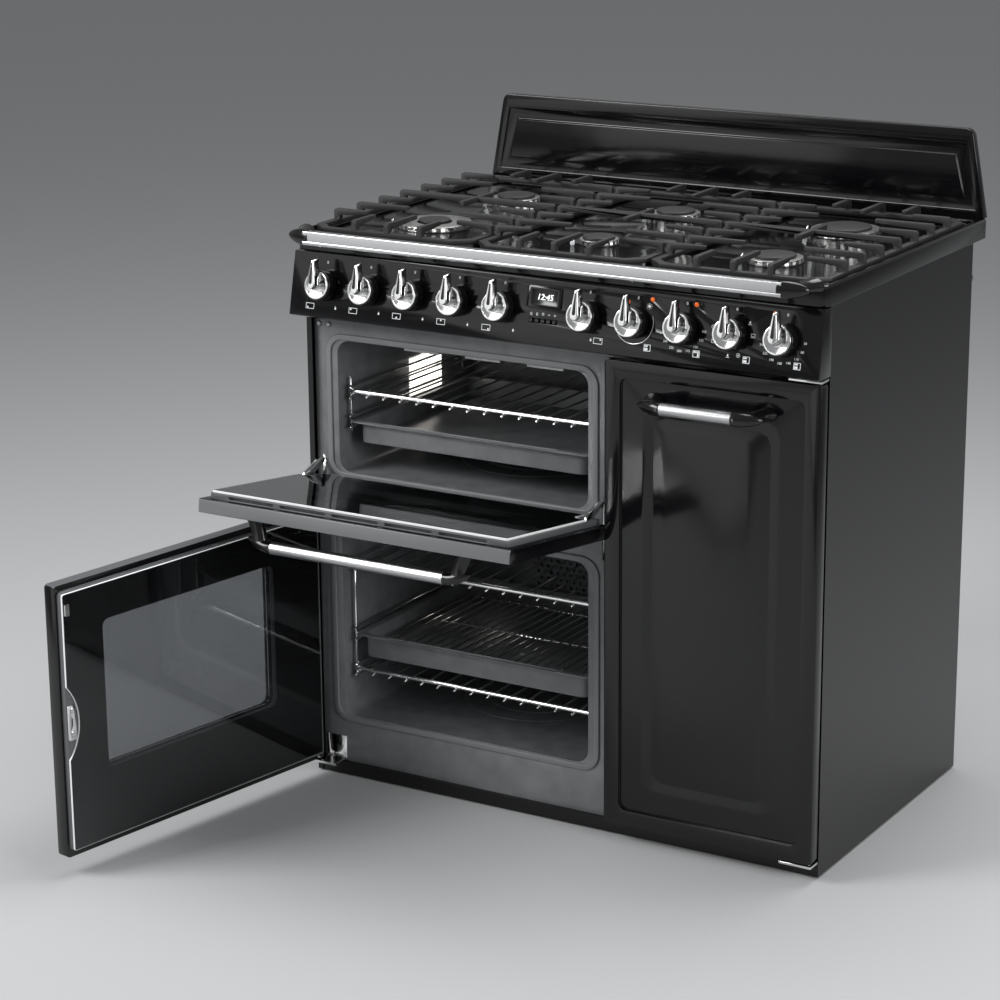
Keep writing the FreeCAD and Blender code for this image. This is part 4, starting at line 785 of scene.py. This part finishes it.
marks = []
burner_dots = ((-4, -2.6), (-4, 2.6), (0, -2.6), (0, 2.6), (4, -2.6), (4, 2.6))
for i, across in enumerate(knob_across):
    marks.append(lettering("0", across + 3, 36, 6))
    if i < 6:
        side = 1 if i == 5 else -1
        marks += box_mark(across + 23 * side, -33, 15, 9, 0.8)
        marks.append(spot(across + 23 * side + burner_dots[i][0], -33 + burner_dots[i][1] * 0.8, 1.4))
        marks += [flame(across + (24 if i < 5 else 11), -33, 1.6), flame(across - 27, 4, 1.0)]
    else:
        marks += box_mark(across + 25, -34, 11, 10, 0.9)
        marks.append(bar_mark(across + 23.3, -31.5, 5.2, 2.4))
        marks.append(bar_mark(across + 23.3, -35.9, 5.2, 3.4) if i != 7 else
                     bar_mark(across + 27.8, -34, 2.2, 7.4))
ring = hoop(knob_across[6], 0, 31, 0.7, -64, 62)
marks.append(spot(knob_across[6] + 22, 26, 2.3))
marks += [spot(knob_across[6] + 22 + 4 * math.cos(math.pi / 4 * k),
               26 + 4 * math.sin(math.pi / 4 * k), 0.6, sides=8) for k in range(8)]
for i, numbers in ((7, (100, 125, 150, 175, 200, 225, 245, 260)),
                   (9, (50, 80, 110, 140, 160, 190, 225, 240))):
    for k, value in enumerate(numbers):
        angle = math.radians(-2 - 23 * k)
        marks.append(lettering(str(value), knob_across[i] + 34 * math.cos(angle),
                               33 * math.sin(angle), 5))
for k, angle in enumerate((166, 204, 262, 292, 2, 38)):
    x = knob_across[8] + 32 * math.cos(math.radians(angle))
    y = 31 * math.sin(math.radians(angle))
    if k in (0, 3):
        marks += [hoop(x, y, 2.8, 0.35), spot(x, y, 1.2)]
    if k in (1, 4):
        marks += box_mark(x, y, 6.4, 5.6, 0.6)
        marks.append(bar_mark(x, y + (1.2 if k == 1 else -1.2), 3.8, 0.7))
    if k in (2, 5):
        marks += [flame(x, y, 1.3), bar_mark(x, y - 2.6, 5.4, 0.7)]
for x in (-20, -10, 0, 10, 20):
    if x in (-20, -10, 0):
        marks += [hoop(x, -4, 1.5, 0.3), bar_mark(x, -6 if x else -2.2, 3.4, 0.5)]
    else:
        marks.append(bar_mark(x, -4, 3.4, 0.7))
marks.append(bar_mark(20, -4, 0.7, 3.4))
marks = joined("panel_marks", marks)
digits = done(lettering("12:45", 1, 21, 12.5, 1.3, 0.18))
digits.name = "clock_digits"
lenses = []
for across in (178, 249, 373):
    lens = turned("lens", 3.4, -1.5, 1.2, 0.9, 24)
    lens.data.transform(Matrix.Translation((across / 1000, 0.036, 0)))
    lenses.append(lens)
lenses = joined("pilot_lenses", lenses)
ring.name = "knob_ring"
# The panel marks are in the pale ink with its painted glow; the digits and lenses are lit.
for piece, slot, material in ((marks, None, pale_ink_painted_glow), (digits, None, lit_digits),
                              (lenses, None, amber_lens), (done(ring), "chrome", chrome)):
    piece.data.transform(panel_place)
    fitted(piece, "cooker", slot, material)


# ---------------------------------------------------------------- hob
# One enamelled pressing with a raised rim, a splashback bolted behind it, six burners with
# aluminium crowns and enamelled caps, and three cast-iron pan supports.

# Cast iron under matt enamel: near black, rough as the sand it was cast in, drawn at 1.2 mm.
cast_iron, tree, shader, place = new_finish("cast_iron_matt_enamel", Base_Color=linear("#222223"))
sand = add_node(tree, "ShaderNodeTexNoise", inputs={"Vector": place, "Scale": 800.0, "Detail": 4.0})
sheen = add_node(tree, "ShaderNodeMapRange", inputs={"Value": sand.outputs["Fac"],
                                                     "To Min": 0.42, "To Max": 0.62})
tree.links.new(sheen.outputs["Result"], shader.inputs["Roughness"])
bump = add_node(tree, "ShaderNodeBump", inputs={"Height": sand.outputs["Fac"], "Strength": 0.35,
                                                "Distance": 0.0004})
tree.links.new(bump.outputs["Normal"], shader.inputs["Normal"])

# Die-cast aluminium: pale and satin.
aluminium, tree, shader, place = new_finish("die_cast_aluminium", Metallic=1.0,
                                            Base_Color=linear("#cfcfcd"))
skin = add_node(tree, "ShaderNodeTexNoise", inputs={"Vector": place, "Scale": 500.0, "Detail": 3.0})
sheen = add_node(tree, "ShaderNodeMapRange", inputs={"Value": skin.outputs["Fac"],
                                                     "To Min": 0.22, "To Max": 0.40})
tree.links.new(sheen.outputs["Result"], shader.inputs["Roughness"])

eased("hob_top", black_enamel, 0.0015)
eased("splashback", black_enamel, 0.0012)
rail = carve(slab("rail_bar", (-402, -351, 888), (402, -339.5, 910), 1.8, 0, 3),
             slab("lip", (-402, -352.4, 888.2), (402, -345, 895.6), 3, 0, 5), operation="UNION")
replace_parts(fitted(done(rail), "cooker", "brushed", brushed_bar), "front_rail")
ends = joined("rail_caps", [
    elbow_cap("cap", (side * 402, -345, 899), side, (7.5, 11), -300.4) for side in (-1, 1)])
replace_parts(fitted(ends, "cooker", "cap_black", gloss_moulding), "rail_ends")
for i in (1, 2, 3):
    eased("pan_support_%d" % i, cast_iron, 0.0016)

def crown_ring(name, x, y, radius, inner, slots):
    """Aluminium crown with its flame slots cut round the upper half of its rim."""
    crown = turned(name, radius, 893, 901, 0.4, slots * 2)
    crown.data.transform(Matrix.Translation((x / 1000, y / 1000, 0)))
    alone(crown)
    bpy.ops.object.mode_set(mode="EDIT")
    bpy.ops.mesh.select_all(action="SELECT")
    bpy.ops.mesh.bisect(plane_co=(0, 0, 0.8965), plane_no=(0, 0, 1))
    bpy.ops.mesh.select_mode(type="FACE")
    bpy.ops.object.mode_set(mode="OBJECT")
    pitch = math.pi / slots
    for face in crown.data.polygons:
        c, n = face.center, face.normal
        turn = math.atan2(c.y - y / 1000, c.x - x / 1000)
        number = round(turn / pitch - 0.5)
        face.select = abs(n.z) < 0.3 and c.z > 0.8965 and c.z < 0.9005 and number % 2 == 0
    bpy.ops.object.mode_set(mode="EDIT")
    bpy.ops.mesh.extrude_region_move(TRANSFORM_OT_translate={"value": (0, 0, 0)})
    bpy.ops.transform.resize(value=(1 - 3 / radius, 1 - 3 / radius, 1),
                             center_override=(x / 1000, y / 1000, 0.899))
    bpy.ops.object.mode_set(mode="OBJECT")
    return crown


burners = ((-294, -145, 58, 44, 25), (-294, 106, 39, 0, 31), (0, -145, 30, 0, 25),
           (0, 106, 39, 0, 31), (294, -145, 42, 0, 32), (294, 106, 54, 0, 40))
crowns, caps, pins, sparks = [], [], [], []
for x, y, radius, inner, cap in burners:
    crowns.append(crown_ring("crown", x, y, radius, inner, 26 if radius > 50 else 20))
    if inner:
        crowns.append(crown_ring("core", x, y, cap + 3, 0, 16))
    disc = turned("cap", cap, 901, 905.5, 1.8)
    disc.data.transform(Matrix.Translation((x / 1000, y / 1000, 0)))
    caps.append(disc)
    away = (radius + 12) * math.sqrt(0.5)
    pins.append(rod("ceramic", (x - away, y - away, 893), (x - away, y - away, 901), 3.4, 16))
    sparks.append(rod("spark", (x - away, y - away, 899), (x - away + 3, y - away + 3, 909), 1.1))
for piece in crowns:
    piece.name = "crown"
crowns = joined("burner_crowns", crowns)
caps = joined("burner_lids", caps)
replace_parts(fitted(crowns, "cooker", "crown", aluminium), "burner_bodies")
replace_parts(fitted(caps, "cooker", "cap_enamel", cast_iron), "burner_caps")
# The ceramic spark insulators take the same pale ink, painted glow included.
fitted(joined("spark_insulators", pins), "cooker", None, pale_ink_painted_glow)
fitted(joined("spark_pins", sparks), "cooker", "chrome", chrome)


# ---------------------------------------------------------------- studio
# Plain pale floor, soft lamps, and the camera at the photograph's angle.

bpy.ops.object.select_all(action="DESELECT")
bpy.ops.mesh.primitive_plane_add(size=60, location=(0, 0, 0))
floor = bpy.context.object
floor.name = "floor"
bpy.ops.object.transform_apply(location=True, rotation=True, scale=True)
floor_paint, tree, shader, place = new_finish("studio_floor", Base_Color=linear("#b9babb"),
                                              Roughness=0.85)
floor.data.materials.append(floor_paint)

world = bpy.data.worlds.new("studio")
bpy.context.scene.world = world
world.use_nodes = True
world.node_tree.nodes["Background"].inputs["Color"].default_value = linear("#b9babb")
world.node_tree.nodes["Background"].inputs["Strength"].default_value = 0.55


def lamp(name, at, towards, size, power):
    """Square soft box that faces a point of the cooker."""
    bpy.ops.object.light_add(type="AREA", location=at)
    light = bpy.context.object
    light.name = name
    light.data.size = size
    light.data.energy = power
    light.rotation_euler = (Vector(towards) - Vector(at)).to_track_quat("-Z", "Y").to_euler()
    return light


lamp("key", (-2.2, -2.6, 2.6), (0, 0, 0.6), 1.6, 95)
lamp("overhead", (0.3, 0.4, 2.9), (0, 0, 0.9), 1.8, 60)
lamp("side", (3.0, -1.2, 1.4), (0.3, 0, 0.5), 1.4, 45)
lamp("front", (-1.9, -3.4, 1.1), (0, -0.3, 0.7), 2.0, 9)

azimuth, elevation, roll = (math.radians(v) for v in (31.06, 16.07, -0.48))
reach = 4.727
target = Vector((-0.2663, 0, 0.4146))
back = Vector((math.sin(azimuth) * math.cos(elevation),
               -math.cos(azimuth) * math.cos(elevation), math.sin(elevation)))
bpy.ops.object.camera_add(location=target + back * reach)
camera = bpy.context.object
turn = (-back).to_track_quat("-Z", "Y").to_matrix()
camera.rotation_euler = (turn @ Matrix.Rotation(roll, 3, "Z")).to_euler()
camera.data.sensor_width = 36
camera.data.lens = 2867.9 / 1000 * 36
camera.data.clip_start = 0.05
bpy.context.scene.camera = camera
bpy.context.scene.view_settings.view_transform = "Standard"
